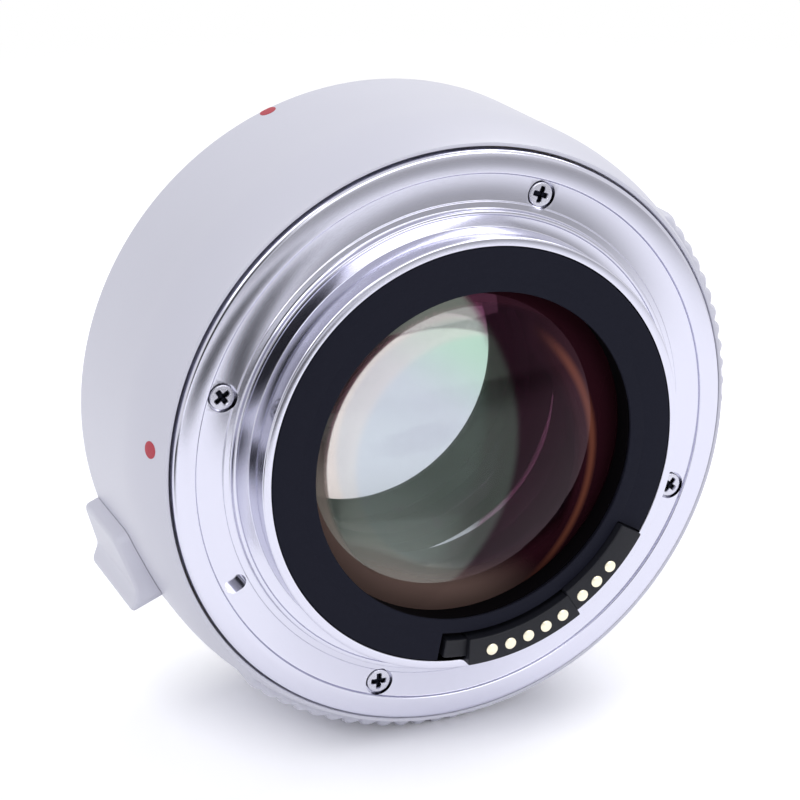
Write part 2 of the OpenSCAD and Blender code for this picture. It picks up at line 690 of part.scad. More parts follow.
module inner_shield() color("#15161b") axial() difference() {
    through = [ear_rear_z - 1, shield_rear_z + 1];
    ring([neck_r + loose, ear_inner_r + 1.4], [ear_rear_z, shield_rear_z]);
    sector([neck_r - 1, fblock_r[1] + loose], [fblock_a[0] - 1, fblock_a[1] + 1], through);
    lock_hole(lock_pin_r + 0.4, through);
    rods(fblock_lug_a, fblock_screw_pcd_r, cell_screw_r + slip, through);
}

module front_contact_block() color("#14151b") axial() difference() {
    lug_z = [shield_rear_z, fblock_lug_z];
    union() {
        sector(fblock_r, fblock_a, [fblock_front_z, fblock_rear_z]);
        for (a = fblock_lug_a) sector([fblock_r[1] - 1, fblock_lug_r], [a - 4, a + 4], lug_z);
        sector([fblock_r[1] - 1, fblock_r[1] + 1.6], [fblock_lug_a[0] - 4, fblock_a[0] + 4], lug_z);
    }
    for (i = [0 : contact_count - 1]) at(contact_angle(i), contact_radius(i)) {
        rod(pin_tip_r + fit, [fblock_front_z - 2, fblock_rear_z]);
        rod(chamber_r, [pin_collar_z, fblock_rear_z + 1]);
    }
    rods(fblock_lug_a, fblock_screw_pcd_r, cell_screw_r + slip, [shield_rear_z - 1, fblock_lug_z + 1]);
}

module contact_block_screws() color("#9a9aa6") axial()
    for (a = fblock_lug_a) at(a, fblock_screw_pcd_r, fblock_lug_z) cross_screw(cell_screw_r, 2.9, 1.2, 0.7);

module contact_pin(i) color("#d8c48a") axial() at(contact_angle(i), contact_radius(i)) {
    intersection() {
        rod(pin_tip_r, [pin_tip_z, pin_collar_z + 0.5]);
        translate([0, 0, pin_tip_z + 1]) union() {
            sphere(r = 1);
            rod(2, [0, 9]);
        }
    }
    rod(chamber_r - fit, [pin_collar_z + 0.02, pin_collar_z + 0.6]);
    rod(0.4, [pin_collar_z + 0.5, pin_collar_z + 1.8]);
}

module contact_pin_1() contact_pin(0);
module contact_pin_2() contact_pin(1);
module contact_pin_3() contact_pin(2);
module contact_pin_4() contact_pin(3);
module contact_pin_5() contact_pin(4);
module contact_pin_6() contact_pin(5);
module contact_pin_7() contact_pin(6);
module contact_pin_8() contact_pin(7);

module contact_springs() color("#b0a890") axial() {
    foot_z = pin_collar_z + 0.6 + contact_wire_r;
    length = fblock_rear_z - contact_wire_r - foot_z;
    for (i = [0 : contact_count - 1]) at(contact_angle(i), contact_radius(i), foot_z)
        coil(contact_spring_r, contact_wire_r, length, contact_spring_turns, 8, 4);
}

module front_flex() color("#b8792f") axial() {
    flat = [fblock_rear_z, fblock_rear_z + flex_t];
    bend = front_flex_r - flex_t;
    sector([fblock_r[0] + 0.3, fblock_r[1] - 0.3], [fblock_a[0] + 1, fblock_a[1] - 1], flat);
    sector([fblock_r[1] - 0.4, front_flex_r], front_flex_a, flat);
    sector([bend, front_flex_r], front_flex_a, [fblock_rear_z, board_z[0]]);
    sector([bend, front_flex_r + 2], front_flex_a, [board_z[0] - flex_t, board_z[0]]);
}

module contact_back_plate() color("#1a1b22") axial()
    sector([fblock_r[0] + 0.1, fblock_r[1] - 0.1], [fblock_a[0] + 0.5, fblock_a[1] - 0.5],
           [fblock_rear_z + flex_t, fblock_rear_z + 0.8]);

module circuit_board() color("#1f5a3a") axial() difference() {
    sector(board_r, board_a, board_z);
    rods(board_screw_angles, board_screw_pcd_r, board_screw_r + slip, [board_z[0] - 1, board_z[1] + 1]);
}

module board_screws() color("#9a9aa6") axial()
    for (a = board_screw_angles) at(a, board_screw_pcd_r, board_z[0])
        front_screw(board_screw_r, 3.6, 1.3, 0.7);

module control_chip() color("#1b1b1f") axial()
    at(chip_a, chip_at_r, board_z[0] - chip_t)
    translate([-chip_w / 2, -chip_w / 2, 0]) cube([chip_w, chip_w, chip_t]);

module flex_clamps() color("#d8d4c4") axial() {
    front_face_z = board_z[0] - flex_t;
    rear_face_z = board_z[1] + flex_t;
    sector([front_flex_r + 0.4, front_flex_r + 2.2], [front_flex_a[0] - 0.5, front_flex_a[1] + 0.5],
           [front_face_z - 0.8, front_face_z]);
    sector([board_r[0] + 0.4, board_r[0] + 2.1], [flex_a[0] - 0.5, flex_a[1] + 0.5],
           [rear_face_z, rear_face_z + 0.8]);
}

// Places children at the lever's screw, with z pointing outwards from the carriage's outer face.
module lever_screw_place() {
    rotate([0, 0, lever_a]) translate([slider_x[1], -1.2, stem_z + stem_l / 2]) rotate([0, 90, 0]) children();
}

// Cross-section of the lever: a gentle lean from the low side, then a steeper rise to the thumb ridge.
module lever_section() {
    low = barrel_r + lever_low_h;
    rise = lever_high_h - lever_low_h;
    top = [for (i = [0 : lever_steps]) let (t = i / lever_steps)
        [low + rise * (0.4 * t + 0.6 * smooth(max(0, t - 0.68) / 0.32)), (t - 0.5) * lever_w]];
    polygon(concat([[lever_foot_r - 2, -lever_w / 2]], top, [[lever_foot_r - 2, lever_w / 2]]));
}

// Outline of the lever seen from outside, as [z, y] points.
module lever_plan() {
    front = [[lever_front_z, lever_w / 2], [lever_front_z, -lever_w / 2]];
    polygon(concat(front, [for (p = lever_rear) [p[1], p[0]]]));
}

module release_lever() color("#cfcfda") axial() difference() {
    rotate([0, 0, lever_a]) {
        difference() {
            intersection() {
                translate([0, 0, lever_front_z]) linear_extrude(height = -lever_front_z) lever_section();
                translate([barrel_r + lever_high_h + 1, 0, 0]) rotate([0, -90, 0])
                    linear_extrude(height = lever_high_h + 5) lever_plan();
            }
            rod(lever_foot_r, [lever_front_z - 1, 0]);
        }
        translate([slider_x[1], -stem_w / 2, stem_z])
            cube([lever_foot_r - slider_x[1] + 0.4, stem_w, stem_l]);
    }
    lever_screw_place() rod(screw_r + fit, [-1, 2.4]);
}

module lever_slider() color("#6f6f78") axial() difference() {
    rotate([0, 0, lever_a]) translate([slider_x[0], -slider_w / 2, stem_z])
        cube([slider_x[1] - slider_x[0], slider_w, slider_l]);
    lock_hole(lock_pin_r, [stem_z - 1, slider_rear_z + 1]);
    lever_screw_place() {
        rod(screw_r + slip, [-9, 1]);
        rod(screw_sink_r, [-9, -lever_screw_grip]);
    }
}

module lever_screw() color("#9a9aa6") axial() lever_screw_place() translate([0, 0, -lever_screw_grip])
    front_screw(screw_r, lever_screw_grip + 2, screw_head_r, screw_head_h);

module lock_pin() color("#c6c6ce") axial() at(lock_a, lock_at_r) {
    tip_z = front_z - lock_pin_out;
    rod(lock_pin_r, [tip_z + 0.4, lock_tail_z]);
    translate([0, 0, tip_z]) cylinder(r1 = lock_pin_r - 0.35, r2 = lock_pin_r, h = 0.4);
    rod(pin_collar_r, [slider_rear_z, slider_rear_z + pin_collar_t]);
}

module lock_spring() color("#8f8f98") axial() {
    foot_z = slider_rear_z + pin_collar_t + spring_wire_r;
    length = bracket_z[0] - spring_wire_r - foot_z;
    at(lock_a, lock_at_r, foot_z) coil(spring_mean_r, spring_wire_r, length, spring_turns, 12, 6);
}

module guide_bracket() color("#7c7c86") axial() difference() {
    outer = bracket_x[1];
    union() {
        sector(bracket_x, bracket_a, bracket_z);
        sector([outer - bracket_leg_t, outer], bracket_a, [bracket_z[0], web_front_z]);
        sector([outer - 2.8, outer], bracket_a, [web_front_z - bracket_foot_t, web_front_z]);
    }
    lock_hole(lock_pin_r + fit, [bracket_z[0] - 1, bracket_z[1] + 1]);
    rods(bracket_screw_angles, bracket_screw_pcd_r, cell_screw_r + slip, [web_front_z - 2, web_front_z + 1]);
}

module bracket_screws() color("#9a9aa6") axial()
    for (a = bracket_screw_angles) at(a, bracket_screw_pcd_r, web_front_z - bracket_foot_t)
        front_screw(cell_screw_r, 2.4, 1, 0.6);

barrel();
rear_mount();
rear_mount_screws();
mount_shim();
rear_baffle();
rear_contact_block();
rear_contacts();
optics_barrel();
optics_screws();
rear_element();
rear_retaining_ring();
middle_element();
rear_spacer();
pair_rear_element();
pair_front_element();
front_spacer();
front_element();
front_retaining_ring();
front_mount();
front_mount_screws();
mount_springs();
spring_screws();
inner_shield();
front_contact_block();
contact_block_screws();
contact_pin_1();
contact_pin_2();
contact_pin_3();
contact_pin_4();
contact_pin_5();
contact_pin_6();
contact_pin_7();
contact_pin_8();
contact_springs();
contact_back_plate();
front_flex();
rear_flex();
circuit_board();
board_screws();
control_chip();
flex_clamps();
release_lever();
lever_slider();
lever_screw();
lock_pin();
lock_spring();
guide_bracket();
bracket_screws();
lens_index_dot();
camera_index_dot();
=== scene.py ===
"""Lens converter on a white studio floor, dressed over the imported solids.

Sizes are in millimetres until a mesh is made. A place is given as (r, a, z): distance from the optical
axis, angle counter-clockwise from +X as seen from the rear, and distance behind the rear flange seat.
"""
import json

import bmesh
import bpy
import numpy as np
from mathutils import Matrix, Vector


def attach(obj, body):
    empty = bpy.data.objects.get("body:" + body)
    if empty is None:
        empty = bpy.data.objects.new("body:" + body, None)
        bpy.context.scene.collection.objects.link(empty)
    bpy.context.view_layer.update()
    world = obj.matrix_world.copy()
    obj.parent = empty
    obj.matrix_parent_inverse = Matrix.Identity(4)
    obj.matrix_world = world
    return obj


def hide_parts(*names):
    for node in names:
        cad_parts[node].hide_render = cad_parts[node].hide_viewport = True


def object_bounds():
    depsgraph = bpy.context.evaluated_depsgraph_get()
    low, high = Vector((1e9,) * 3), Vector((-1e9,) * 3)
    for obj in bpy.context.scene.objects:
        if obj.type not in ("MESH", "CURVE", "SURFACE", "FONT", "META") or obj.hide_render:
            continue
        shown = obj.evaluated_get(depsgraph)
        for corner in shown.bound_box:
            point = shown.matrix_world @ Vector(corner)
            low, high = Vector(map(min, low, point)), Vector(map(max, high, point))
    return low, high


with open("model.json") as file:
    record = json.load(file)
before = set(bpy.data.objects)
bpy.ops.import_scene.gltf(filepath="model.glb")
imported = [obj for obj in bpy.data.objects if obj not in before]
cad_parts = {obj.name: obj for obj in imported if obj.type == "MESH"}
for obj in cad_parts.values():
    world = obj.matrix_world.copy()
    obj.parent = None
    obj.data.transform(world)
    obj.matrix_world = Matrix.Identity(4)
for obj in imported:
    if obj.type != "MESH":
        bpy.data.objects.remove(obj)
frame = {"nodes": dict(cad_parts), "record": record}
cad_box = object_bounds()
MM = 0.001

# Body, in the same sizes as the solids.
BODY_L = 27.2
BARREL_R = 35.85
REAR_EDGE_R = 34.1
SHOULDER_L = 9.6
EDGE_DROP = 0.5
BARREL_FRONT = 26.1
FRONT_ROUND = 0.9
WEB_REAR = 2.15
FRONT_SEAT = 23.6
SHELL_R = 33.4
REAR_LIP_R = 33.66
FRONT_LIP_R = 33.1
SHOULDER_R = (SHOULDER_L**2 + (BARREL_R - REAR_EDGE_R) ** 2) / (2 * (BARREL_R - REAR_EDGE_R))
SHOULDER_END = EDGE_DROP + SHOULDER_L

# Grip ribs. The end ribs of the band have RIB_LEAST of the full height, and a rib's sides run on to RIB_ROOT
# below the barrel's surface.
RIB_H = 0.55
RIB_W = 2.0
RIB_PITCH = 3.6
RIB_COUNT = 48
RIB_START = -131.4
RIB_FADE = 38.0
RIB_NOSE = 2.2
RIB_FROM = 2.6
RIB_L = 19.4
RIB_LEAST = 0.15
RIB_ROOT = 0.35

# Rear bayonet.
FLANGE_R = 33.42
FLANGE_T = 2.0
SEAT_R = 30.85
TRACK_D = 0.3
LOW_STEP_D = 0.16
COLLAR_R = 26.9
COLLAR_H = 0.6
COLLAR_GROOVE_D = 0.12
TUBE_R = 25.1
BORE_R = 24.1
BAYONET_H = 4.7
TAB_R = 26.4
TAB_T = 1.5
TAB_BEVEL = 0.3
TAB_BELOW_RIM = 0.03
TAB_END_EASE = 0.12
TABS = ((-12, 47), (111.5, 159), (231, 282))
LOCK_A = 204.3
LOCK_R = 29.2
LOCK_SLOT_R = 0.95
LOCK_SLOT_HALF = 0.3
LOCK_SLOT_D = 1.7

# Front bayonet.
FRONT_R = 33.0
THROAT_R = 27.0
THROAT_BEVEL = 0.9
LUG_R = 25.4
LUG_DROP = 0.8
LUG_T = 1.8
LUG_ROOT = 0.1
LUG_PLAY_A = 3
LOCK_HOLE_R = 1.0

# Screws. Each head's cross is turned on from the one before it.
REAR_SCREWS = (70.6, 160.6, 250.6, 340.6)
REAR_SCREW_R = 29.15
FRONT_SCREWS = (45, 135, 225, 315)
FRONT_SCREW_R = 30.4
SINK_R = 1.65
FRONT_SINK_D = 0.9
SCREW_HEAD_R = 1.42
SCREW_HEAD_H = 0.75
SCREW_CROWN = 0.05
SCREW_BELOW_TRACK = 0.05
SCREW_SEAT = -TRACK_D - SCREW_HEAD_H - SCREW_BELOW_TRACK
SCREW_BRIGHT_D = 0.07
SCREW_DARK_D = 0.33
CROSS_HALF_W = 0.3
CROSS_HALF_L = 0.95
CROSS_D = 0.45
CROSS_SIDE = 0.1
CROSS_END = 0.22
CROSS_HUB_R = 0.45
CROSS_HUB_D = 0.55
CROSS_HUB_SIDE = 0.2
CROSS_FIRST_A = 20
CROSS_NEXT_A = 37

# Contacts, in a group of three and a group of five. A step of their block is its inner and outer radius, its
# face, and its first and last angle.
CONTACT_GROUPS = (3, 5)
CONTACT_FIRST_A = -43.4
CONTACT_PITCH_A = 5.8
CONTACT_GAP_A = 2.1
CONTACT_A = tuple(
    CONTACT_FIRST_A - CONTACT_PITCH_A * i - (CONTACT_GAP_A if i >= CONTACT_GROUPS[0] else 0)
    for i in range(sum(CONTACT_GROUPS))
)
CONTACT_R = (22.55,) * CONTACT_GROUPS[0] + (23.0,) * CONTACT_GROUPS[1]
PAD_R = 0.68
PAD_H = 0.24
PAD_FALL = 0.6
PAD_SKIRT = 0.3
BLOCK_SEAT = 3.5
BLOCK_FACE = 5.7
TAIL_FACE = 5.0
BLOCK_STEPS = (
    (21.3, 24.5, BLOCK_FACE, -93.1, -58.45),
    (20.8, 23.8, BLOCK_FACE, -58.6, -31.0),
    (21.5, 23.6, TAIL_FACE, -100.1, -93.0),
)
BLOCK_END_EASE = 0.1

# Baffle.
BAFFLE_R = 19.0
BAFFLE_STEP_R = 20.7
BAFFLE_OUT_R = 24.0
BAFFLE_ARC = (-30.6, 258.5)

# Lens barrel.
REAR_LENS_R = 20.5
LENS_R = 17.0
LENS_PLAY = 0.05
CELL_R = 23.6
CELL_FLANGE_R = 28.6
CELL_FLANGE_Z = (-4.4, -6.0)
NOSE_R = 20.0
NOSE_END = 34.2
STOP_R = 15.6
STOP_Z = (-4.7, -6.5)
REAR_SEAT_R = 19.4
REAR_SEAT_Z = -3.2
LOCK_NOTCH_R = 1.75
NOTCH_FROM_R = 27.2

# Glass. A form is its radius, rear vertex, rear curve, front vertex and front curve.
GLASS_IOR = 1.62
REAR_FORM = (REAR_LENS_R, 4.2, 60, -4.4, 150)
MIDDLE_FORM = (LENS_R, -9.0, -50, -10.6, -70)
PAIR_FORM = (LENS_R, -11.99, 60, -24.58, 4000)
FRONT_FORM = (LENS_R, -25.6, 80, -33.9, 45)

# Rings in the lens barrel: inner radius, outer radius, and the planes of their faces.
WASHER = (15.62, 19.3, -4.69, -4.55)
WASHER_EASE = 0.03
REAR_RING = (REAR_SEAT_R, REAR_LENS_R, 1.05, 3.4)
FRONT_STOP_R = 13.8
FRONT_STOP_Z = (-31.15, -32.0, -32.75, -34.1)

# Index marks: angle and distance in front of the rear flange seat.
LENS_MARK = (110.55, 24.6)
CAMERA_MARK = (173.6, 3.2)
MARK_R = 0.95
MARK_LIFT = 0.05
MARK_FALL = 0.02
MARK_SKIRT = 0.2

# Lever. Its plan is (across, along), with the front at the negative end.
LEVER_A = 202.2
LEVER_W = 7.3
LEVER_LOW = BARREL_R + 1.65
LEVER_HIGH = BARREL_R + 3.85
LEVER_FOOT = BARREL_R + 0.05
LEVER_FRONT = -25.6
LEVER_MIDDLE = (0.0, -18.4)
LEVER_EDGE = 0.55
LEVER_LEAN = 0.4
LEVER_RIDGE_FROM = 0.68

# Meshes: steps round a turned piece, angles that count as an edge, how near two points are one, and how far
# a cutter stands out of the face that it cuts.
RING_STEPS = 360
TUBE_STEPS = 240
LENS_STEPS = 180
EDGE_A = 32.0
SOFT_EDGE_A = 40.0
SAME_POINT = 0.0002
NO_LENGTH = 0.00001
CUTTER_REACH = 1.0

# Finishes: the size of each pattern as drawn, and the height of its relief.
CLOUD = 16.7
PEBBLE = 0.417
PEBBLE_RELIEF = 0.04
SMUDGE = 7.14
TOOL_MARK_RELIEF = 0.02
GRAIN_RELIEF = 0.03
SCREW_GRAIN = 0.2
DUST = 2.0
DUST_HAZE = 0.012
PAPER_CLOUD = 33.3

# Studio, in metres: how much whiter the paper is to the camera, metal and glass than to the light that it
# returns, where it turns to plain white for them, and half its side.
PAPER_LIFT = 1.3
PAPER_FADE = (0.14, 0.4)
FLOOR_HALF = 3
SKY_STRENGTH = 0.56
FLAG_SOLID = 0.35

# View of the photograph: azimuth, elevation, the camera's place to the right, up and back, and its lens.
VIEW_A = -24.014
VIEW_LIFT = 20.765
VIEW_PLACE = (-6.60, 4.96, 255.06)
VIEW_SENSOR = 36.0
VIEW_FOCAL = 103.5

# Sockets of a Mix node for colours.
SHARE = 0
FIRST = 6
SECOND = 7
RESULT = 2


def linear(colour):
    """Linear RGBA of an sRGB hex colour: each channel through the sRGB curve."""
    srgb = np.array([int(colour[i : i + 2], 16) for i in (1, 3, 5)]) / 255
    rgb = np.where(srgb <= 0.04045, srgb / 12.92, ((srgb + 0.055) / 1.055) ** 2.4)
    return (*rgb.tolist(), 1.0)


def per_metre(size):
    """Scale of a noise texture whose patches have a size in millimetres: how many of them fit in a metre."""
    return 1 / (size * MM)


def add(tree, kind, inputs=None, **settings):
    """Adds a shader node of a kind, sets its settings, and gives each named input a value or a link."""
    node = tree.nodes.new("ShaderNode" + kind)
    for name, value in settings.items():
        setattr(node, name, value)
    for name, value in (inputs or {}).items():
        if isinstance(value, bpy.types.NodeSocket):
            tree.links.new(value, node.inputs[name])
        else:
            node.inputs[name].default_value = value
    return node


def new_material(name):
    """An empty node material with its output node and its object coordinates."""
    material = bpy.data.materials.new(name)
    material.use_nodes = True
    tree = material.node_tree
    tree.nodes.clear()
    place = add(tree, "TexCoord").outputs["Object"]
    out = add(tree, "OutputMaterial")
    return material, tree, place, out


def two_toned(tree, out, tones, gloss, relief, finish):
    """A surface of two close tones, with its gloss and relief, that goes to the material's output.

    tones is a pattern and the two colours that it mixes, gloss is a pattern and the roughness at its two
    ends, relief is a pattern, the strength of the bump and its height, and finish holds the other inputs.
    """
    share, colour, shade = tones
    tone = add(
        tree, "Mix", {SHARE: share, FIRST: linear(colour), SECOND: linear(shade)}, data_type="RGBA"
    )
    spread, least, most = gloss
    rough = add(tree, "MapRange", {"Value": spread, "To Min": least, "To Max": most})
    height, strength, depth = relief
    bump = add(
        tree, "Bump", {"Height": height, "Strength": strength, "Distance": depth * MM}
    )
    skin = add(
        tree, "BsdfPrincipled",
        {
            "Base Color": tone.outputs[RESULT], "Roughness": rough.outputs[0], "Normal": bump.outputs[0],
            **finish,
        },
    )
    tree.links.new(skin.outputs[0], out.inputs[0])


def enamel(name, colour, shade, roughness):
    """Baked enamel on aluminium: even colour with faint clouds, and a fine pebble that breaks the gloss.

    The pebble is 0.25 mm across on the real paint and is drawn at about 0.4 mm so that it shows.
    """
    material, tree, place, out = new_material(name)
    clouds = add(tree, "TexNoise", {"Vector": place, "Scale": per_metre(CLOUD), "Detail": 3.0})
    pebble = add(tree, "TexNoise", {"Vector": place, "Scale": per_metre(PEBBLE), "Detail": 2.0})
    bumps = pebble.outputs["Fac"]
    two_toned(
        tree, out,
        tones=(clouds.outputs["Fac"], colour, shade),
        gloss=(bumps, roughness - 0.05, roughness + 0.05),
        relief=(bumps, 0.12, PEBBLE_RELIEF),
        finish={"IOR": 1.5, "Coat Weight": 0.12, "Coat Roughness": 0.3},
    )
    return material


def turned_metal(name, colour, shade, roughness, mark, strength):
    """Metal turned on a lathe: fine tool marks round the optical axis in colour and bump, smudges in gloss.

    The distance from the axis is the length of the place with its Y taken out; a noise along it makes the
    rings. Real tool marks are 0.05 mm apart and are drawn wider so that they show.
    """
    material, tree, place, out = new_material(name)
    flat = add(tree, "VectorMath", {0: place, 1: (1.0, 0.0, 1.0)}, operation="MULTIPLY")
    away = add(tree, "VectorMath", {0: flat.outputs[0]}, operation="LENGTH")
    along = add(tree, "CombineXYZ", {"X": away.outputs["Value"]})
    marks = add(
        tree, "TexNoise",
        {"Vector": along.outputs[0], "Scale": per_metre(mark), "Detail": 3.0, "Roughness": 0.7},
    )
    smudge = add(tree, "TexNoise", {"Vector": place, "Scale": per_metre(SMUDGE), "Detail": 4.0})
    two_toned(
        tree, out,
        tones=(marks.outputs["Fac"], colour, shade),
        gloss=(smudge.outputs["Fac"], roughness * 0.75, roughness * 1.25),
        relief=(marks.outputs["Fac"], strength, TOOL_MARK_RELIEF),
        finish={"Metallic": 1.0},
    )
    return material


def grained(name, colour, shade, roughness, grain, strength, metallic=0.0, specular=0.5):
    """Moulded, rolled, painted or plated: two close tones and a fine grain in gloss and bump."""
    material, tree, place, out = new_material(name)
    noise = add(tree, "TexNoise", {"Vector": place, "Scale": per_metre(grain), "Detail": 3.0})
    pattern = noise.outputs["Fac"]
    two_toned(
        tree, out,
        tones=(pattern, colour, shade),
        gloss=(pattern, roughness - 0.06, roughness + 0.06),
        relief=(pattern, strength, GRAIN_RELIEF),
        finish={"Metallic": metallic, "Specular IOR Level": specular},
    )
    return material


def plated_screw(name, colour, recess_shade, top, inward):
    """Plated screw steel: bright on the head's face, with painted shade in the cross and beside the rim.

    The painted shade is a smooth step of the depth below the head's top, which lies at a Y. inward is 1
    where a larger Y is deeper, and otherwise -1.
    """
    material, tree, place, out = new_material(name)
    along = add(tree, "SeparateXYZ", {0: place}).outputs["Y"]
    bright, dark = ((top + inward * depth) * MM for depth in (SCREW_BRIGHT_D, SCREW_DARK_D))
    # Painted shade: darker with depth in the cross and beside the rim.
    sunk = add(
        tree, "MapRange", {"Value": along, "From Min": bright, "From Max": dark},
        interpolation_type="SMOOTHSTEP",
    )
    tone = add(
        tree, "Mix",
        {SHARE: sunk.outputs[0], FIRST: linear(colour), SECOND: linear(recess_shade)}, data_type="RGBA",
    )
    grain = add(
        tree, "TexNoise", {"Vector": place, "Scale": per_metre(SCREW_GRAIN), "Detail": 2.0}
    )
    gloss = add(
        tree, "MapRange", {"Value": grain.outputs["Fac"], "To Min": 0.2, "To Max": 0.36}
    )
    skin = add(
        tree, "BsdfPrincipled",
        {"Base Color": tone.outputs[RESULT], "Roughness": gloss.outputs[0], "Metallic": 1.0},
    )
    tree.links.new(skin.outputs[0], out.inputs[0])
    return material


def dusty_polish(tree, place):
    """Roughness of polished glass: nearly none, with a trace of haze where a noise stands for dust."""
    dust = add(tree, "TexNoise", {"Vector": place, "Scale": per_metre(DUST), "Detail": 2.0})
    haze = add(
        tree, "MapRange", {"Value": dust.outputs["Fac"], "To Min": 0.0, "To Max": DUST_HAZE}
    )
    return haze.outputs[0]


def coated_glass(name, tint, coat):
    """Optical glass with a thin film: clear and smooth, with a dark, coloured reflection."""
    material, tree, place, out = new_material(name)
    skin = add(
        tree, "BsdfPrincipled",
        {
            "Base Color": linear(tint), "Roughness": dusty_polish(tree, place), "IOR": GLASS_IOR,
            "Transmission Weight": 1.0, "Specular Tint": linear(coat),
        },
    )
    tree.links.new(skin.outputs[0], out.inputs[0])
    return material


def round_zone(tree, place, centre, inner, outer):
    """A smooth step from 0 to 1 of the distance from a line along the optical axis, in millimetres."""
    shift = add(
        tree, "VectorMath", {0: place, 1: (centre[0] * MM, 0.0, centre[1] * MM)},
        operation="SUBTRACT",
    )
    flat = add(
        tree, "VectorMath", {0: shift.outputs[0], 1: (1.0, 0.0, 1.0)}, operation="MULTIPLY"
    )
    away = add(tree, "VectorMath", {0: flat.outputs[0]}, operation="LENGTH")
    step = add(
        tree, "MapRange",
        {"Value": away.outputs["Value"], "From Min": inner * MM, "From Max": outer * MM},
        interpolation_type="SMOOTHSTEP",
    )
    return step.outputs[0]


def straight_zone(tree, place, way, start, stop):
    """A smooth step from 0 to 1 of the place along one direction, in millimetres."""
    along = add(tree, "VectorMath", {0: place, 1: way}, operation="DOT_PRODUCT")
    step = add(
        tree, "MapRange",
        {"Value": along.outputs["Value"], "From Min": start * MM, "From Max": stop * MM},
        interpolation_type="SMOOTHSTEP",
    )
    return step.outputs[0]


def rear_glass_painted_reflections(name, coat):
    """Rear element: optical glass with painted reflections as zones of colour, a painted rim and a brown
    arc.

    Each zone is a smooth step of the distance from a line along the optical axis, or of the place along one
    direction. Bluish white in the middle turns to green along a direction, to cream outside a circle, to
    greyish pink beyond an offset circle and to maroon beyond a second one; these colours are painted
    reflections and ghost images laid in the glass. Inside the second circle a white film reflects more: 0.55
    at the lower left, and 0.4 less away from there. The rim is black edge paint, widened at the bottom and
    on the right by painted reflection, and turning grey-brown towards the lower left as painted reflection;
    the brown arc is a painted reflection of the barrel's edge behind the glass. The rim's paint grows four
    times as fast as the glass under it turns opaque, and paint and arc let a tenth of the light through.
    """
    material, tree, place, out = new_material(name)
    axis = (0.0, 0.0)
    arc_centre = (-4.0, -2.5)
    leaf = straight_zone(tree, place, (0.6, 0.0, 0.8), 2.0, 10.5)
    low = straight_zone(tree, place, (-0.6, 0.0, -0.8), 6.0, 15.0)
    right = straight_zone(tree, place, (1.0, 0.0, 0.0), 6.0, 13.0)
    below = straight_zone(tree, place, (0.0, 0.0, -1.0), 7.0, 14.0)
    cream = round_zone(tree, place, axis, 13.1, 14.1)
    pink = round_zone(tree, place, (-4.5, -1.6), 16.25, 16.6)
    beyond = round_zone(tree, place, (-20.0, 2.0), 24.6, 25.8)
    rim = round_zone(tree, place, axis, 16.5, 17.2)
    # Black edge paint on the rim, widened by painted reflection at the bottom and on the right.
    for side, zone in ((below, (axis, 12.6, 16.6)), (right, (arc_centre, 16.8, 18.6))):
        share = add(
            tree, "Math", {0: side, 1: round_zone(tree, place, *zone)}, operation="MULTIPLY"
        )
        rim = add(tree, "Math", {0: rim, 1: share.outputs[0]}, operation="MAXIMUM").outputs[0]
    # The brown arc: a painted reflection of the barrel's edge behind the glass.
    arc = right
    for inner, outer in ((18.7, 19.6), (20.5, 19.6)):
        band = round_zone(tree, place, arc_centre, inner, outer)
        arc = add(tree, "Math", {0: arc, 1: band}, operation="MULTIPLY").outputs[0]
    dark = add(tree, "Math", {0: rim, 1: 4.0}, operation="MULTIPLY", use_clamp=True)
    # The rim's colour: black edge paint, turning grey-brown towards the lower left as painted reflection.
    paint = add(
        tree, "Mix", {SHARE: low, FIRST: linear("#2A1018"), SECOND: linear("#6A5650")},
        data_type="RGBA",
    )
    # Zones of painted reflection and ghost images laid over the bluish white glass.
    tone = linear("#BCC2C8")
    zones = (
        (leaf, linear("#AECDB8")), (cream, linear("#D6CDC5")), (pink, linear("#7C7273")),
        (beyond, linear("#553044")), (dark.outputs[0], paint.outputs[RESULT]), (arc, linear("#6E3F32")),
    )
    for share, colour in zones:
        mixed = add(tree, "Mix", {SHARE: share, FIRST: tone, SECOND: colour}, data_type="RGBA")
        tone = mixed.outputs[RESULT]
    solid = add(tree, "Math", {0: rim, 1: arc}, operation="MAXIMUM")
    clear = add(tree, "Math", {0: solid.outputs[0], 1: -0.9, 2: 1.0}, operation="MULTIPLY_ADD")
    inside = add(tree, "Math", {0: 1.0, 1: beyond}, operation="SUBTRACT")
    fade = add(
        tree, "Math",
        {0: round_zone(tree, place, (-10.0, -14.0), 4.0, 13.5), 1: -0.4, 2: 0.55}, operation="MULTIPLY_ADD",
    )
    ghost = add(tree, "Math", {0: fade.outputs[0], 1: inside.outputs[0]}, operation="MULTIPLY")
    film = add(
        tree, "Mix", {SHARE: beyond, FIRST: linear("#93A898"), SECOND: linear(coat)},
        data_type="RGBA",
    )
    skin = add(
        tree, "BsdfPrincipled",
        {
            "Base Color": tone, "Roughness": dusty_polish(tree, place), "IOR": GLASS_IOR,
            "Transmission Weight": clear.outputs[0], "Specular Tint": film.outputs[RESULT],
            "Coat Weight": ghost.outputs[0], "Coat IOR": 2.0, "Coat Roughness": 0.02,
        },
    )
    tree.links.new(skin.outputs[0], out.inputs[0])
    return material


# The numbers of these finishes are the roughness, the size of the tool marks or the grain, and the strength
# of the bump.

# Baked enamel on aluminium: an even pale grey with a soft, slightly broken gloss.
GREY_ENAMEL = enamel("baked_grey_enamel", "#CBCBD8", "#C6C6D3", 0.42)
# Chrome plate on turned brass: a bright, cool mirror with faint rings.
CHROME = turned_metal("polished_chrome_plate", "#D2D2E0", "#CACAD9", 0.13, 0.12, 0.015)
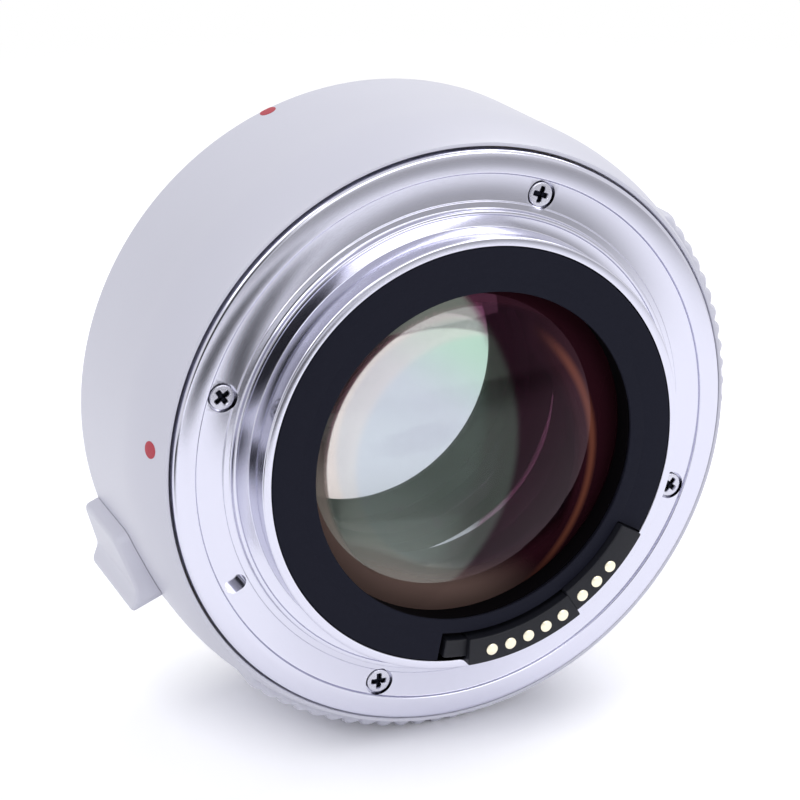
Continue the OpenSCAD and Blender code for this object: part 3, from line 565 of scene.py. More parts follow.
# Plated screw steel: silver faces round a cross darkened by painted shade.
REAR_SCREW = plated_screw(
    "plated_screw_steel", "#C6C6D2", "#191A22", top=-SCREW_SEAT - SCREW_HEAD_H, inward=1
)
FRONT_SCREW = plated_screw(
    "plated_front_screw_steel", "#C6C6D2", "#191A22", top=BODY_L - FRONT_SINK_D + SCREW_HEAD_H, inward=-1
)
# Brushed spring steel: a plain grey metal with a blurred gloss.
STEEL = grained("brushed_spring_steel", "#A9A9B2", "#93939C", 0.32, 0.4, 0.1, metallic=1.0)
# Rolled brass: yellow metal with a blurred gloss.
BRASS = grained("rolled_brass_shim", "#C8A85A", "#B8964A", 0.3, 0.5, 0.1, metallic=1.0)
# Gold plate: a pale warm metal that catches the light as small bright dots.
GOLD = grained("gold_plated_contact", "#F7F1DE", "#F0E7CB", 0.35, 0.3, 0.05, metallic=1.0)
# Anodised aluminium: bluish black with hardly any shine.
BLACK_METAL = grained("black_anodised_aluminium", "#191A25", "#1E1F2A", 0.5, 0.3, 0.15, specular=0.05)
# Lens paints: a black, and a brown black, that swallow stray light.
BLACK_PAINT = grained("matt_black_lens_paint", "#050406", "#080609", 0.75, 0.3, 0.05, specular=0.05)
BROWN_PAINT = grained("brown_black_seat_paint", "#54323A", "#4A2A32", 0.7, 0.3, 0.05, specular=0.05)
# Glass-filled nylon: a dull black with a fine grain.
BLACK_PLASTIC = grained("black_glass_filled_nylon", "#15161C", "#1C1D25", 0.45, 0.25, 0.2, specular=0.25)
# Polyimide film: smooth amber.
AMBER_FILM = grained("amber_polyimide_film", "#B8792F", "#A86A25", 0.3, 0.6, 0.05)
# Solder mask on a circuit board: a dark, half glossy green.
GREEN_BOARD = grained("green_solder_mask", "#1F5A3A", "#18492E", 0.4, 0.8, 0.1)
# Connector nylon: a dull cream.
CREAM_PLASTIC = grained("cream_connector_nylon", "#D8D4C4", "#CBC6B4", 0.5, 0.3, 0.1)
# Index paint: an even, half glossy red.
RED_PAINT = grained("red_index_paint", "#B0263C", "#A22034", 0.45, 0.3, 0.1)
# Coated glass: nearly clear, with green reflections, and for the rear element zones of painted reflection.
GLASS = coated_glass("coated_optical_glass", "#FCFDFE", "#345F42")
REAR_GLASS = rear_glass_painted_reflections("rear_optical_glass_painted_reflections", "#7A4262")

SLOT_LOOKS = {
    "painted_grey": GREY_ENAMEL, "chrome": CHROME, "steel": STEEL, "brass_shim": BRASS,
    "black_metal": BLACK_METAL, "black_plastic": BLACK_PLASTIC, "gold_contact": GOLD,
    "coated_glass": GLASS, "amber_film": AMBER_FILM, "green_board": GREEN_BOARD,
    "cream_plastic": CREAM_PLASTIC, "red_mark": RED_PAINT,
}


def polar(r, a, z):
    """Points of the part's frame in millimetres: x = r cos a, y = -z, z = r sin a."""
    r, a, z = np.broadcast_arrays(np.asarray(r, float), np.radians(a), np.asarray(z, float))
    return np.stack([r * np.cos(a), -z, r * np.sin(a)], -1)


def circle(spokes):
    """Even angles round a full circle, in radians."""
    return np.linspace(0, 2 * np.pi, spokes, endpoint=False)


def net(points, around=False, along=False):
    """Quads over a grid of points (rows, columns, 3).

    around joins the last column to the first, and along the last row to the first.
    """
    rows, cols = points.shape[:2]
    index = np.arange(rows * cols).reshape(rows, cols)
    index = np.concatenate([index, index[:, :1]], 1) if around else index
    index = np.concatenate([index, index[:1]], 0) if along else index
    quads = np.stack([index[:-1, :-1], index[:-1, 1:], index[1:, 1:], index[1:, :-1]], -1)
    return points.reshape(-1, 3), quads.reshape(-1, 4)


def rounded(corners, radius, steps=4):
    """A closed profile with eased corners: each becomes a parabola between two points on its sides.

    They lie a radius from the corner, which is one for all corners or one for each, or else 0.45 of the
    shorter side, if that is less.
    """
    p = np.asarray(corners, float)
    before = np.roll(p, 1, 0) - p
    after = np.roll(p, -1, 0) - p
    len_b = np.linalg.norm(before, axis=1, keepdims=True)
    len_a = np.linalg.norm(after, axis=1, keepdims=True)
    wanted = np.reshape(radius, (-1, 1)) * np.ones((len(p), 1))
    reach = np.minimum(np.minimum(len_b, len_a) * 0.45, wanted)
    start = p + before / len_b * reach
    stop = p + after / len_a * reach
    t = np.linspace(0, 1, steps + 1)[None, :, None]
    curve = (1 - t) ** 2 * start[:, None] + 2 * t * (1 - t) * p[:, None] + t**2 * stop[:, None]
    return curve.reshape(-1, 2)


def turned(profile, steps=RING_STEPS, closed=True):
    """A profile of (r, z) points carried round the optical axis; a closed profile gives a ring."""
    angles = np.arange(steps) * 360 / steps
    grid = polar(profile[:, :1], angles[None, :], profile[:, 1:])
    return net(grid, around=True, along=closed)


def arc_bar(profile, a0, a1, step=0.75, taper=0.0):
    """A closed profile carried along an arc from a0 to a1, with both ends closed by fans.

    taper is how far, in millimetres, the end faces draw in to their middle, which eases the end edges.
    """
    count = max(3, int(round((a1 - a0) / step)) + 1)
    angles = np.linspace(a0, a1, count)
    middle = profile.mean(0)
    shrink = np.ones(count)
    if taper:
        ease = np.degrees(taper / middle[0])
        angles = np.concatenate([[a0], np.linspace(a0 + ease, a1 - ease, count), [a1]])
        reach = np.abs(profile - middle).max()
        shrink = np.concatenate([[1 - taper / reach], np.ones(count), [1 - taper / reach]])
    shape = middle + (profile[:, None] - middle) * shrink[None, :, None]
    grid = polar(shape[..., 0], angles[None, :], shape[..., 1])
    points, quads = net(grid, along=True)
    rows, cols = grid.shape[:2]
    caps = polar(middle[0], angles[[0, -1]], middle[1])
    ring = np.arange(rows) * cols
    far = ring + cols - 1
    hub = np.full(rows, rows * cols)
    first = np.stack([hub, np.roll(ring, -1), ring, hub], -1)
    last = np.stack([hub + 1, far, np.roll(far, -1), hub + 1], -1)
    return np.concatenate([points, caps]), np.concatenate([quads, first, last])


def outward_mesh(name, points, quads):
    """A mesh from points in millimetres and quads: doubles merged, and faces turned outwards."""
    mesh = bpy.data.meshes.new(name)
    mesh.from_pydata(points * MM, [], quads.tolist())
    work = bmesh.new()
    work.from_mesh(mesh)
    bmesh.ops.remove_doubles(work, verts=work.verts, dist=SAME_POINT * MM)
    bmesh.ops.dissolve_degenerate(work, edges=work.edges, dist=NO_LENGTH * MM)
    bmesh.ops.recalc_face_normals(work, faces=work.faces)
    work.to_mesh(mesh)
    work.free()
    return mesh


def finish_piece(obj, material, sharp):
    """Smooth faces, with edges sharper than an angle kept sharp, and one material."""
    mesh = obj.data
    mesh.shade_smooth()
    mesh.set_sharp_from_angle(angle=np.radians(sharp))
    mesh.materials.clear()
    mesh.materials.append(material)


def piece(name, parts, material, body, nodes=(), sharp=EDGE_A):
    """One object from several (points, quads) parts, with the body it rides on and what it replaces."""
    start = np.cumsum([0] + [len(p) for p, _ in parts[:-1]])
    points = np.concatenate([p for p, _ in parts])
    quads = np.concatenate([q + s for (_, q), s in zip(parts, start)])
    obj = bpy.data.objects.new(name, outward_mesh(name, points, quads))
    bpy.context.scene.collection.objects.link(obj)
    finish_piece(obj, material, sharp)
    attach(obj, body)
    if nodes:
        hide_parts(*nodes)
    return obj


def drill(obj, cutters, material):
    """Takes closed cutter shapes out of a piece, and keeps the result as the piece's own mesh."""
    for points, quads in cutters:
        tool = bpy.data.objects.new("cutter", outward_mesh("cutter", points, quads))
        bpy.context.scene.collection.objects.link(tool)
        cut = obj.modifiers.new("cut", "BOOLEAN")
        cut.operation = "DIFFERENCE"
        cut.solver = "EXACT"
        cut.object = tool
        shown = bpy.context.evaluated_depsgraph_get()
        result = bpy.data.meshes.new_from_object(obj.evaluated_get(shown))
        obj.modifiers.clear()
        obj.data = result
        bpy.data.objects.remove(tool)
    obj.data.name = obj.name
    finish_piece(obj, material, EDGE_A)


def plug(a, r, radius, z0, z1):
    """A closed rod along the axis at an angle and a distance, for cutting a hole."""
    t = circle(48)
    wall = np.array([[0, z0], [radius, z0], [radius, z1], [0, z1]])
    grid = np.stack(
        [wall[:, :1] * np.cos(t), -wall[:, 1:] * np.ones_like(t), wall[:, :1] * np.sin(t)], -1
    )
    return net(polar(r, a, 0.0) + grid, around=True)


def side_radius(d):
    """Radius of the barrel's side at a distance d in front of the rear seat: an arc, then straight."""
    run = np.clip(SHOULDER_END - d, 0, SHOULDER_L)
    return BARREL_R - SHOULDER_R + np.sqrt(SHOULDER_R**2 - run**2)


def rib_radius(a, d):
    """Radius over the ribs: a parabola across each rib on top of the barrel's side.

    The height of a rib grows on a smooth step from both ends of the band, and falls at the rib's own two
    ends on a quarter of an ellipse.
    """
    span = (RIB_COUNT - 1) * RIB_PITCH
    run = np.clip(np.round((a - RIB_START) / RIB_PITCH), 0, RIB_COUNT - 1) * RIB_PITCH
    off = np.radians(a - RIB_START - run) * BARREL_R / (RIB_W / 2)
    share = np.clip(np.minimum(run, span - run) / RIB_FADE, 0, 1)
    high = RIB_H * (RIB_LEAST + (1 - RIB_LEAST) * share**2 * (3 - 2 * share))
    ridge = BARREL_R + high - (high + RIB_ROOT) * off**2
    inward = np.clip(np.minimum(d - RIB_FROM, RIB_FROM + RIB_L - d) / RIB_NOSE, 0, 1)
    return side_radius(d) + (ridge - side_radius(d)) * np.sqrt(1 - (1 - inward) ** 2)


def body_shell():
    """Barrel: one closed profile carried round the axis, with the ribs raised on its side.

    The profile runs over the rear lip, along the side, round the front edge, over the front lip and back
    inside. Its rows stand closer at the ends of the ribs, and its columns closer where there are ribs.
    """
    first = RIB_START - RIB_PITCH
    last = RIB_START + RIB_COUNT * RIB_PITCH
    ribbed = np.arange(first, last, RIB_PITCH / 12)
    plain = np.linspace(last, first + 360, 140, endpoint=False)
    angles = np.concatenate([ribbed, plain])
    nose = RIB_NOSE * (1 - np.cos(np.radians(np.linspace(0, 90, 10))))
    d_side = np.concatenate([
        [0.68, 0.9, 1.2, 1.7, 2.2], RIB_FROM + nose, np.linspace(5.3, SHOULDER_END, 9),
        np.linspace(12, 19, 4), RIB_FROM + RIB_L - nose[::-1], [22.6, 23.6, 24.6],
    ])
    bend = np.radians(np.linspace(0, 90, 7))
    round_d = BARREL_FRONT - FRONT_ROUND + FRONT_ROUND * np.sin(bend)
    round_r = BARREL_R - FRONT_ROUND + FRONT_ROUND * np.cos(bend)
    rear_lip = np.array([
        [REAR_LIP_R, EDGE_DROP + 1.4], [REAR_LIP_R, EDGE_DROP + 0.22], [REAR_LIP_R + 0.06, EDGE_DROP + 0.06],
        [REAR_LIP_R + 0.22, EDGE_DROP], [REAR_EDGE_R - 0.1, EDGE_DROP], [REAR_EDGE_R, EDGE_DROP + 0.04],
    ])
    front_lip = np.array([
        [FRONT_LIP_R + 0.2, BARREL_FRONT], [FRONT_LIP_R + 0.02, BARREL_FRONT - 0.1],
        [FRONT_LIP_R, BARREL_FRONT - 0.2], [FRONT_LIP_R, FRONT_SEAT], [SHELL_R, FRONT_SEAT - 0.6],
    ])
    inside = np.array([[SHELL_R, WEB_REAR + 2.25], [SHELL_R, WEB_REAR]])
    r = np.concatenate([rear_lip[:, 0], side_radius(d_side), round_r, front_lip[:, 0], inside[:, 0]])
    d = np.concatenate([rear_lip[:, 1], d_side, round_d, front_lip[:, 1], inside[:, 1]])
    radius = np.broadcast_to(r[:, None], (len(r), len(angles))).copy()
    rows = slice(len(rear_lip), len(rear_lip) + len(d_side))
    radius[rows] = np.maximum(radius[rows], rib_radius(angles[None, :], d_side[:, None]))
    grid = polar(radius, angles[None, :], -d[:, None])
    return net(grid, around=True, along=True)


def bayonet_flange():
    """Rear mount: the flange, track, collar and tube as one turned profile, and three tabs as arcs."""
    groove_z = COLLAR_H - COLLAR_GROOVE_D
    corners = [
        (BORE_R, -FLANGE_T), (FLANGE_R, -FLANGE_T), (FLANGE_R, 0), (SEAT_R, 0), (SEAT_R - 0.1, -TRACK_D),
        (COLLAR_R + 0.9, -TRACK_D), (COLLAR_R + 0.82, -LOW_STEP_D), (COLLAR_R + 0.12, -LOW_STEP_D),
        (COLLAR_R, 0), (COLLAR_R, COLLAR_H), (COLLAR_R - 0.42, COLLAR_H), (COLLAR_R - 0.5, groove_z),
        (TUBE_R, groove_z), (TUBE_R, BAYONET_H), (BORE_R, BAYONET_H),
    ]
    ease = [0.1, 0.3, 0.45, 0.14, 0.06, 0.05, 0.06, 0.06, 0.06, 0.12, 0.08, 0.05, 0.1, 0.22, 0.1]
    parts = [turned(rounded(corners, ease))]
    root_r = TUBE_R - 0.5
    tab_front = BAYONET_H - TAB_T
    tab_rear = BAYONET_H - TAB_BELOW_RIM
    tab = [
        (root_r, tab_front), (TAB_R, tab_front), (TAB_R, BAYONET_H - TAB_BEVEL),
        (TAB_R - TAB_BEVEL, tab_rear), (root_r, tab_rear),
    ]
    profile = rounded(tab, [0.02, 0.15, 0.12, 0.12, 0.02])
    parts += [arc_bar(profile, a0, a1, taper=TAB_END_EASE) for a0, a1 in TABS]
    return parts


def lock_slot():
    """Cutter for the lock slot: a bar with round ends that reaches down into the flange.

    Its outline is a circle whose two halves are moved apart along the radius of the flange.
    """
    t = circle(48)
    x = LOCK_R + np.where(np.cos(t) >= 0, LOCK_SLOT_HALF, -LOCK_SLOT_HALF) + LOCK_SLOT_R * np.cos(t)
    y = LOCK_SLOT_R * np.sin(t)
    outline = polar(np.hypot(x, y), LOCK_A + np.degrees(np.arctan2(y, x)), 0.0)
    hub = polar(LOCK_R, LOCK_A, 0.0)
    share = np.array([0.0, 1.0, 1.0, 0.0])[:, None, None]
    drop = np.array([LOCK_SLOT_D, LOCK_SLOT_D, -CUTTER_REACH, -CUTTER_REACH])[:, None, None]
    return net(hub + share * (outline - hub) + drop * np.array([0.0, 1.0, 0.0]), around=True)


def screw_heads(places, r, seat, towards=1.0):
    """Cross-head screws: a low dome over a polar grid with a cross sunk into it, and a rounded rim.

    The cross is the deepest of two bars and a hub. A bar is a clipped slope across its width times one along
    its length, and the hub is a clipped slope of the distance from the middle.
    """
    face = np.linspace(0, 0.9, 22)
    rings = np.concatenate([face, [0.95, 0.985, 1.0, 1.0]])[:, None]
    drop = np.concatenate([np.zeros_like(face), [0.02, 0.07, 0.16, SCREW_HEAD_H]])[:, None]
    t = circle(96)
    parts = []
    for number, a in enumerate(places):
        turn = t + np.radians(CROSS_FIRST_A + CROSS_NEXT_A * number)
        x = rings * np.cos(turn) * SCREW_HEAD_R
        y = rings * np.sin(turn) * SCREW_HEAD_R
        bars = [
            np.clip((CROSS_HALF_W - np.abs(across)) / CROSS_SIDE, 0, 1)
            * np.clip((CROSS_HALF_L - np.abs(along)) / CROSS_END, 0, 1)
            for along, across in ((x, y), (y, x))
        ]
        hub = np.clip((CROSS_HUB_R - np.hypot(x, y)) / CROSS_HUB_SIDE, 0, 1)
        sunk = np.maximum(np.maximum(*bars) * CROSS_D, hub * CROSS_HUB_D)
        high = np.maximum(SCREW_HEAD_H - drop - SCREW_CROWN * rings**2 - sunk, 0)
        head = np.stack(
            [rings * SCREW_HEAD_R * np.cos(t), -towards * high, rings * SCREW_HEAD_R * np.sin(t)], -1
        )
        parts.append(net(polar(r, a, seat) + head, around=True))
    return parts


def black_baffle():
    """Rear baffle: an inner ring with a bevelled mouth, and an outer one that stops at the contact block."""
    inner = [
        (BAFFLE_R + 0.5, BLOCK_SEAT), (BAFFLE_STEP_R, BLOCK_SEAT), (BAFFLE_STEP_R, BAYONET_H),
        (BAFFLE_R + 0.1, BAYONET_H), (BAFFLE_R, BAYONET_H - 0.15),
    ]
    outer = [
        (BAFFLE_STEP_R, BLOCK_SEAT), (BAFFLE_OUT_R, BLOCK_SEAT), (BAFFLE_OUT_R, BAYONET_H),
        (BAFFLE_STEP_R, BAYONET_H),
    ]
    return [
        turned(rounded(inner, [0.02, 0.02, 0.001, 0.05, 0.05])),
        arc_bar(rounded(outer, [0.02, 0.02, 0.15, 0.001]), *BAFFLE_ARC, step=1.0),
    ]


def contact_carrier():
    """Rear contact block: a tall stepped arc in two widths, and a lower tail."""
    parts = []
    for r0, r1, face, a0, a1 in BLOCK_STEPS:
        corners = [(r0, BLOCK_SEAT), (r1, BLOCK_SEAT), (r1, face), (r0, face)]
        parts.append(arc_bar(rounded(corners, [0.02, 0.02, 0.2, 0.2]), a0, a1, taper=BLOCK_END_EASE))
    return parts


def contact_pads():
    """Rear contacts: low domes on the block's face, with a short wall below their rims.

    A dome falls by PAD_FALL of its height with the square of the distance from its middle.
    """
    t = circle(32)
    s = np.concatenate([np.linspace(0, 1, 6), [1.0]])[:, None]
    high = PAD_H * (1 - PAD_FALL * s**2)
    high[-1] = -PAD_SKIRT
    dome = np.stack([PAD_R * s * np.cos(t), -high * np.ones_like(t), PAD_R * s * np.sin(t)], -1)
    return [net(polar(r, a, BLOCK_FACE) + dome, around=True) for a, r in zip(CONTACT_A, CONTACT_R)]


def sag(r, curve):
    """Depth of a sphere below its vertex at radius r: the curve less the root of curve² - r²."""
    return curve - np.sqrt(curve**2 - r**2)


def lens(radius, rear_vertex, rear_curve, front_vertex, front_curve):
    """Glass element: two spherical surfaces joined by a straight edge; a negative curve is hollow."""
    r = radius * np.linspace(0, 1, 28)
    rear = rear_vertex - np.sign(rear_curve) * sag(r, abs(rear_curve))
    front = front_vertex + np.sign(front_curve) * sag(r, abs(front_curve))
    profile = np.concatenate([np.stack([r, rear], -1), np.stack([r, front], -1)[::-1]])
    return turned(profile, steps=LENS_STEPS, closed=False)


def lens_tube():
    """Optics barrel: outer steps and the bore as one closed turned profile, with a notch for the lock pin.

    In the notch a rim point moves in along its radius to where that radius meets the pin hole's circle.
    """
    rear_bore = REAR_LENS_R + LENS_PLAY
    bore = LENS_R + LENS_PLAY
    flange_rear, flange_front = CELL_FLANGE_Z
    stop_rear, stop_front = STOP_Z
    corners = [
        (rear_bore, BLOCK_SEAT), (CELL_R, BLOCK_SEAT), (CELL_R, flange_rear), (CELL_FLANGE_R, flange_rear),
        (CELL_FLANGE_R, flange_front), (NOSE_R, flange_front), (NOSE_R, -NOSE_END), (bore, -NOSE_END),
        (bore, stop_front), (STOP_R, stop_front), (STOP_R, stop_rear), (REAR_SEAT_R, stop_rear),
        (REAR_SEAT_R, REAR_SEAT_Z), (rear_bore, REAR_SEAT_Z),
    ]
    ease = [0.1, 0.1, 0.02, 0.1, 0.1, 0.1, 0.5, 0.2, 0.02, 0.02, 0.02, 0.02, 0.02, 0.02]
    points, faces = turned(rounded(corners, ease), steps=TUBE_STEPS)
    reach = np.hypot(points[:, 0], points[:, 2])
    turn = np.arctan2(points[:, 2], points[:, 0]) - np.radians(LOCK_A)
    aside = LOCK_R * np.sin(turn)
    inside = (np.abs(aside) < LOCK_NOTCH_R) & (np.cos(turn) > 0) & (reach > NOTCH_FROM_R)
    near = LOCK_R * np.cos(turn) - np.sqrt(np.maximum(LOCK_NOTCH_R**2 - aside**2, 0))
    pull = np.where(inside, np.minimum(near, reach) / reach, 1)
    points[:, 0] *= pull
    points[:, 2] *= pull
    return [(points, faces)]


def ring_of(r0, r1, z0, z1, ease=0.1):
    """A plain turned ring with eased edges."""
    return turned(rounded([(r0, z0), (r1, z0), (r1, z1), (r0, z1)], ease), steps=TUBE_STEPS)


def front_stop():
    """Front retaining ring: a turned ring with a bevelled lip in front of the front glass."""
    back, step, bevel, face = FRONT_STOP_Z
    corners = [
        (FRONT_STOP_R, face), (LENS_R, face), (LENS_R, back), (STOP_R, back), (STOP_R, step),
        (FRONT_STOP_R, bevel),
    ]
    return turned(rounded(corners, [0.25, 0.15, 0.05, 0.05, 0.05, 0.1]), steps=TUBE_STEPS)


def lever_height(y):
    """Height of the lever's top over its width: a gentle lean, then a smooth step to the thumb ridge."""
    t = y / LEVER_W + 0.5
    step = np.clip((t - LEVER_RIDGE_FROM) / (1 - LEVER_RIDGE_FROM), 0, 1)
    rise = LEVER_LEAN * t + (1 - LEVER_LEAN) * step**2 * (3 - 2 * step)
    return LEVER_LOW + (LEVER_HIGH - LEVER_LOW) * rise


def thumb_lever():
    """Release lever: loops of one rounded outline, from its middle over the top, round the edge and down.

    The loops of the top grow with the power 0.8 of their number, those of the edge follow a quarter circle,
    and the last two lie on the barrel.
    """
    half = LEVER_W / 2
    corners = [
        (-half, -14.1), (-0.65, -11.4), (half - 0.7, -9.8), (half, -10.5), (half, LEVER_FRONT),
        (-half, LEVER_FRONT),
    ]
    outline = rounded(corners, [1.2, 2.0, 0.6, 0.6, 0.8, 0.8], steps=8)
    closing = np.concatenate([outline, outline[:1]])
    length = np.concatenate([[0], np.cumsum(np.linalg.norm(np.diff(closing, axis=0), axis=1))])
    even = np.linspace(0, length[-1], 220, endpoint=False)
    outline = np.stack([np.interp(even, length, closing[:, k]) for k in (0, 1)], -1)
    middle = np.array(LEVER_MIDDLE)
    grow = np.linspace(0, 1, 18) ** 0.8
    bend = np.radians(np.linspace(0, 90, 7))
    inset = np.concatenate([grow, np.ones_like(bend)])
    inward = np.concatenate([np.full_like(grow, LEVER_EDGE), LEVER_EDGE * (1 - np.sin(bend))])
    lower = np.concatenate([np.zeros_like(grow), LEVER_EDGE * (1 - np.cos(bend))])
    span = np.abs(outline - middle).max(0)
    plan = middle + (outline[None] - middle) * inset[:, None, None] * (1 - inward[:, None, None] / span)
    top = lever_height(plan[..., 0]) - lower[:, None]
    foot_plan = np.stack([plan[-1], middle + (plan[-1] - middle) * 0.02])
    foot = np.sqrt(LEVER_FOOT**2 - foot_plan[..., 0] ** 2)
    y, z = np.moveaxis(np.concatenate([plan, foot_plan]), -1, 0)
    x = np.concatenate([top, foot])
    turn = np.radians(LEVER_A)
    grid = np.stack([x * np.cos(turn) - y * np.sin(turn), -z, x * np.sin(turn) + y * np.cos(turn)], -1)
    return net(grid, around=True)


def mark_disc(a, d):
    """A painted dot that follows the barrel's side: a polar grid laid on it, with a thin wall below its rim.

    The paint's thickness falls with the fourth power of the distance from the dot's middle.
    """
    t = circle(40)
    s = np.concatenate([np.linspace(0, 1, 7), [1.0]])[:, None]
    lift = MARK_LIFT - MARK_FALL * s**4
    lift[-1] = -MARK_SKIRT
    depth = d + MARK_R * s * np.cos(t)
    angle = a + np.degrees(MARK_R * s * np.sin(t) / side_radius(d))
    over = np.clip(depth - (BARREL_FRONT - FRONT_ROUND), 0, FRONT_ROUND * 0.98)
    r = side_radius(depth) - FRONT_ROUND + np.sqrt(FRONT_ROUND**2 - over**2)
    return net(polar(r + lift, angle, -depth), around=True)


def front_ring():
    """Front mount: the seat ring as a turned profile and three lugs as arcs inside its throat."""
    face = -BODY_L
    corners = [
        (THROAT_R, -FRONT_SEAT), (FRONT_R, -FRONT_SEAT), (FRONT_R, face), (THROAT_R + THROAT_BEVEL, face),
        (THROAT_R, face + THROAT_BEVEL),
    ]
    parts = [turned(rounded(corners, [0.1, 0.1, 0.45, 0.08, 0.08]))]
    root_r = THROAT_R + LUG_ROOT
    lug_front = face + LUG_DROP
    lug_rear = lug_front + LUG_T
    lug = [(LUG_R, lug_front), (root_r, lug_front), (root_r, lug_rear), (LUG_R, lug_rear)]
    profile = rounded(lug, [0.2, 0.02, 0.02, 0.2])
    parts += [arc_bar(profile, a0 + LUG_PLAY_A, a1 - LUG_PLAY_A, taper=TAB_END_EASE) for a0, a1 in TABS]
    return parts


def build_rear_mount(home):
    """The rear bayonet with its holes and screw heads."""
    flange = piece("bayonet_flange", bayonet_flange(), CHROME, home, ["rear_mount"])
    holes = [plug(a, REAR_SCREW_R, SINK_R, SCREW_SEAT, CUTTER_REACH) for a in REAR_SCREWS]
    drill(flange, holes + [lock_slot()], CHROME)
    heads = screw_heads(REAR_SCREWS, REAR_SCREW_R, SCREW_SEAT)
    piece("flange_screw_heads", heads, REAR_SCREW, home, ["rear_mount_screws"])


def build_front_mount(home):
    """The front bayonet with its holes and screw heads."""
    ring = piece("front_ring", front_ring(), CHROME, home, ["front_mount"])
    above = -BODY_L - CUTTER_REACH
    sink = -BODY_L + FRONT_SINK_D
    holes = [plug(a, FRONT_SCREW_R, SINK_R, above, sink) for a in FRONT_SCREWS]
    drill(ring, holes + [plug(LOCK_A, LOCK_R, LOCK_HOLE_R, above, -FRONT_SEAT + CUTTER_REACH)], CHROME)
    heads = screw_heads(FRONT_SCREWS, FRONT_SCREW_R, sink, towards=-1.0)
    piece("front_screw_heads", heads, FRONT_SCREW, home, ["front_mount_screws"])


def build_optics(home):
    """The lens barrel with its glass, rings and washer."""
    piece("lens_tube", lens_tube(), BLACK_PAINT, home, ["optics_barrel"])
    washer = ring_of(*WASHER, ease=WASHER_EASE)
    piece("lens_seat_washer", [washer], BROWN_PAINT, home)
    elements = (
        ("rear_element_glass", REAR_FORM, REAR_GLASS, ["rear_element"]),
        ("middle_glass", MIDDLE_FORM, GLASS, ["middle_element"]),
        ("cemented_pair_glass", PAIR_FORM, GLASS, ["pair_rear_element", "pair_front_element"]),
        ("front_glass", FRONT_FORM, GLASS, ["front_element"]),
    )
    for name, form, material, nodes in elements:
        piece(name, [lens(*form)], material, home, nodes, sharp=SOFT_EDGE_A)
    rear_ring = ring_of(*REAR_RING)
    piece("rear_lens_ring", [rear_ring], BLACK_PAINT, home, ["rear_retaining_ring"])
    piece("front_lens_ring", [front_stop()], BLACK_PAINT, home, ["front_retaining_ring"])


def build_object():
    """Makes every dressed piece, then gives the remaining solids their finish."""
    home = "housing"
    piece("body_shell", [body_shell()], GREY_ENAMEL, home, ["barrel"], sharp=SOFT_EDGE_A)
    build_rear_mount(home)
    piece("black_baffle", black_baffle(), BLACK_METAL, home, ["rear_baffle"])
    piece("contact_carrier", contact_carrier(), BLACK_PLASTIC, home, ["rear_contact_block"])
    piece("contact_pads", contact_pads(), GOLD, home, ["rear_contacts"])
    build_optics(home)
    piece("lens_mark", [mark_disc(*LENS_MARK)], RED_PAINT, home, ["lens_index_dot"])
    piece("camera_mark", [mark_disc(*CAMERA_MARK)], RED_PAINT, home, ["camera_index_dot"])
    build_front_mount(home)
    piece("thumb_lever", [thumb_lever()], GREY_ENAMEL, "release", ["release_lever"])
    for row in frame["record"]["subparts"]:
        mesh = frame["nodes"][row["node"]].data
        mesh.materials.clear()
        mesh.materials.append(SLOT_LOOKS[row["material_slot"]])


def stage_sheet(name, centre, half_u, half_v, material):
    """A flat sheet of the studio: its corners are the centre plus or minus each of its two half sides."""
    centre, half_u, half_v = (np.array(v, float) for v in (centre, half_u, half_v))
    signs = ((-1, -1), (1, -1), (1, 1), (-1, 1))
    corners = np.stack([centre + u * half_u + v * half_v for u, v in signs])
    mesh = bpy.data.meshes.new(name)
    mesh.from_pydata(corners.tolist(), [], [(0, 1, 2, 3)])
    mesh.materials.append(material)
    sheet = bpy.data.objects.new(name, mesh)
    bpy.context.scene.collection.objects.link(sheet)
    return sheet


def seen_ray(tree):
    """1 for what the camera sees, directly, in metal or through glass, and 0 for the light on the object."""
    path = add(tree, "LightPath")
    share = path.outputs["Is Camera Ray"]
    for ray in ("Is Glossy Ray", "Is Transmission Ray"):
        more = add(tree, "Math", {0: share, 1: path.outputs[ray]}, operation="MAXIMUM")
        share = more.outputs[0]
    return share


def white_paper():
    """White paper sweep: faint clouds of tone; what the camera, metal and glass see of it is lifted.

    For those it also turns to plain white, by a smooth step of the distance from the object.
    """
    material, tree, place, out = new_material("white_paper_sweep")
    clouds = add(tree, "TexNoise", {"Vector": place, "Scale": per_metre(PAPER_CLOUD)})
    tone = add(
        tree, "Mix",
        {SHARE: clouds.outputs["Fac"], FIRST: linear("#FAFAFB"), SECOND: linear("#F7F7F9")},
        data_type="RGBA",
    )
    lift = add(
        tree, "VectorMath", {0: tone.outputs[RESULT], "Scale": PAPER_LIFT}, operation="SCALE"
    )
    seen = seen_ray(tree)
    plain = add(tree, "BsdfDiffuse", {"Color": tone.outputs[RESULT]})
    white = add(tree, "BsdfDiffuse", {"Color": lift.outputs[0]})
    both = add(tree, "MixShader", {0: seen, 1: plain.outputs[0], 2: white.outputs[0]})
    away = add(tree, "VectorMath", {0: place}, operation="LENGTH")
    far = add(
        tree, "MapRange",
        {"Value": away.outputs["Value"], "From Min": PAPER_FADE[0], "From Max": PAPER_FADE[1]},
        interpolation_type="SMOOTHSTEP",
    )
    share = add(tree, "Math", {0: far.outputs[0], 1: seen}, operation="MULTIPLY")
    bright = add(tree, "Emission", {"Color": linear("#FFFFFF"), "Strength": 1.0})
    sweep = add(
        tree, "MixShader", {0: share.outputs[0], 1: both.outputs[0], 2: bright.outputs[0]}
    )
    tree.links.new(sweep.outputs[0], out.inputs[0])
    return material


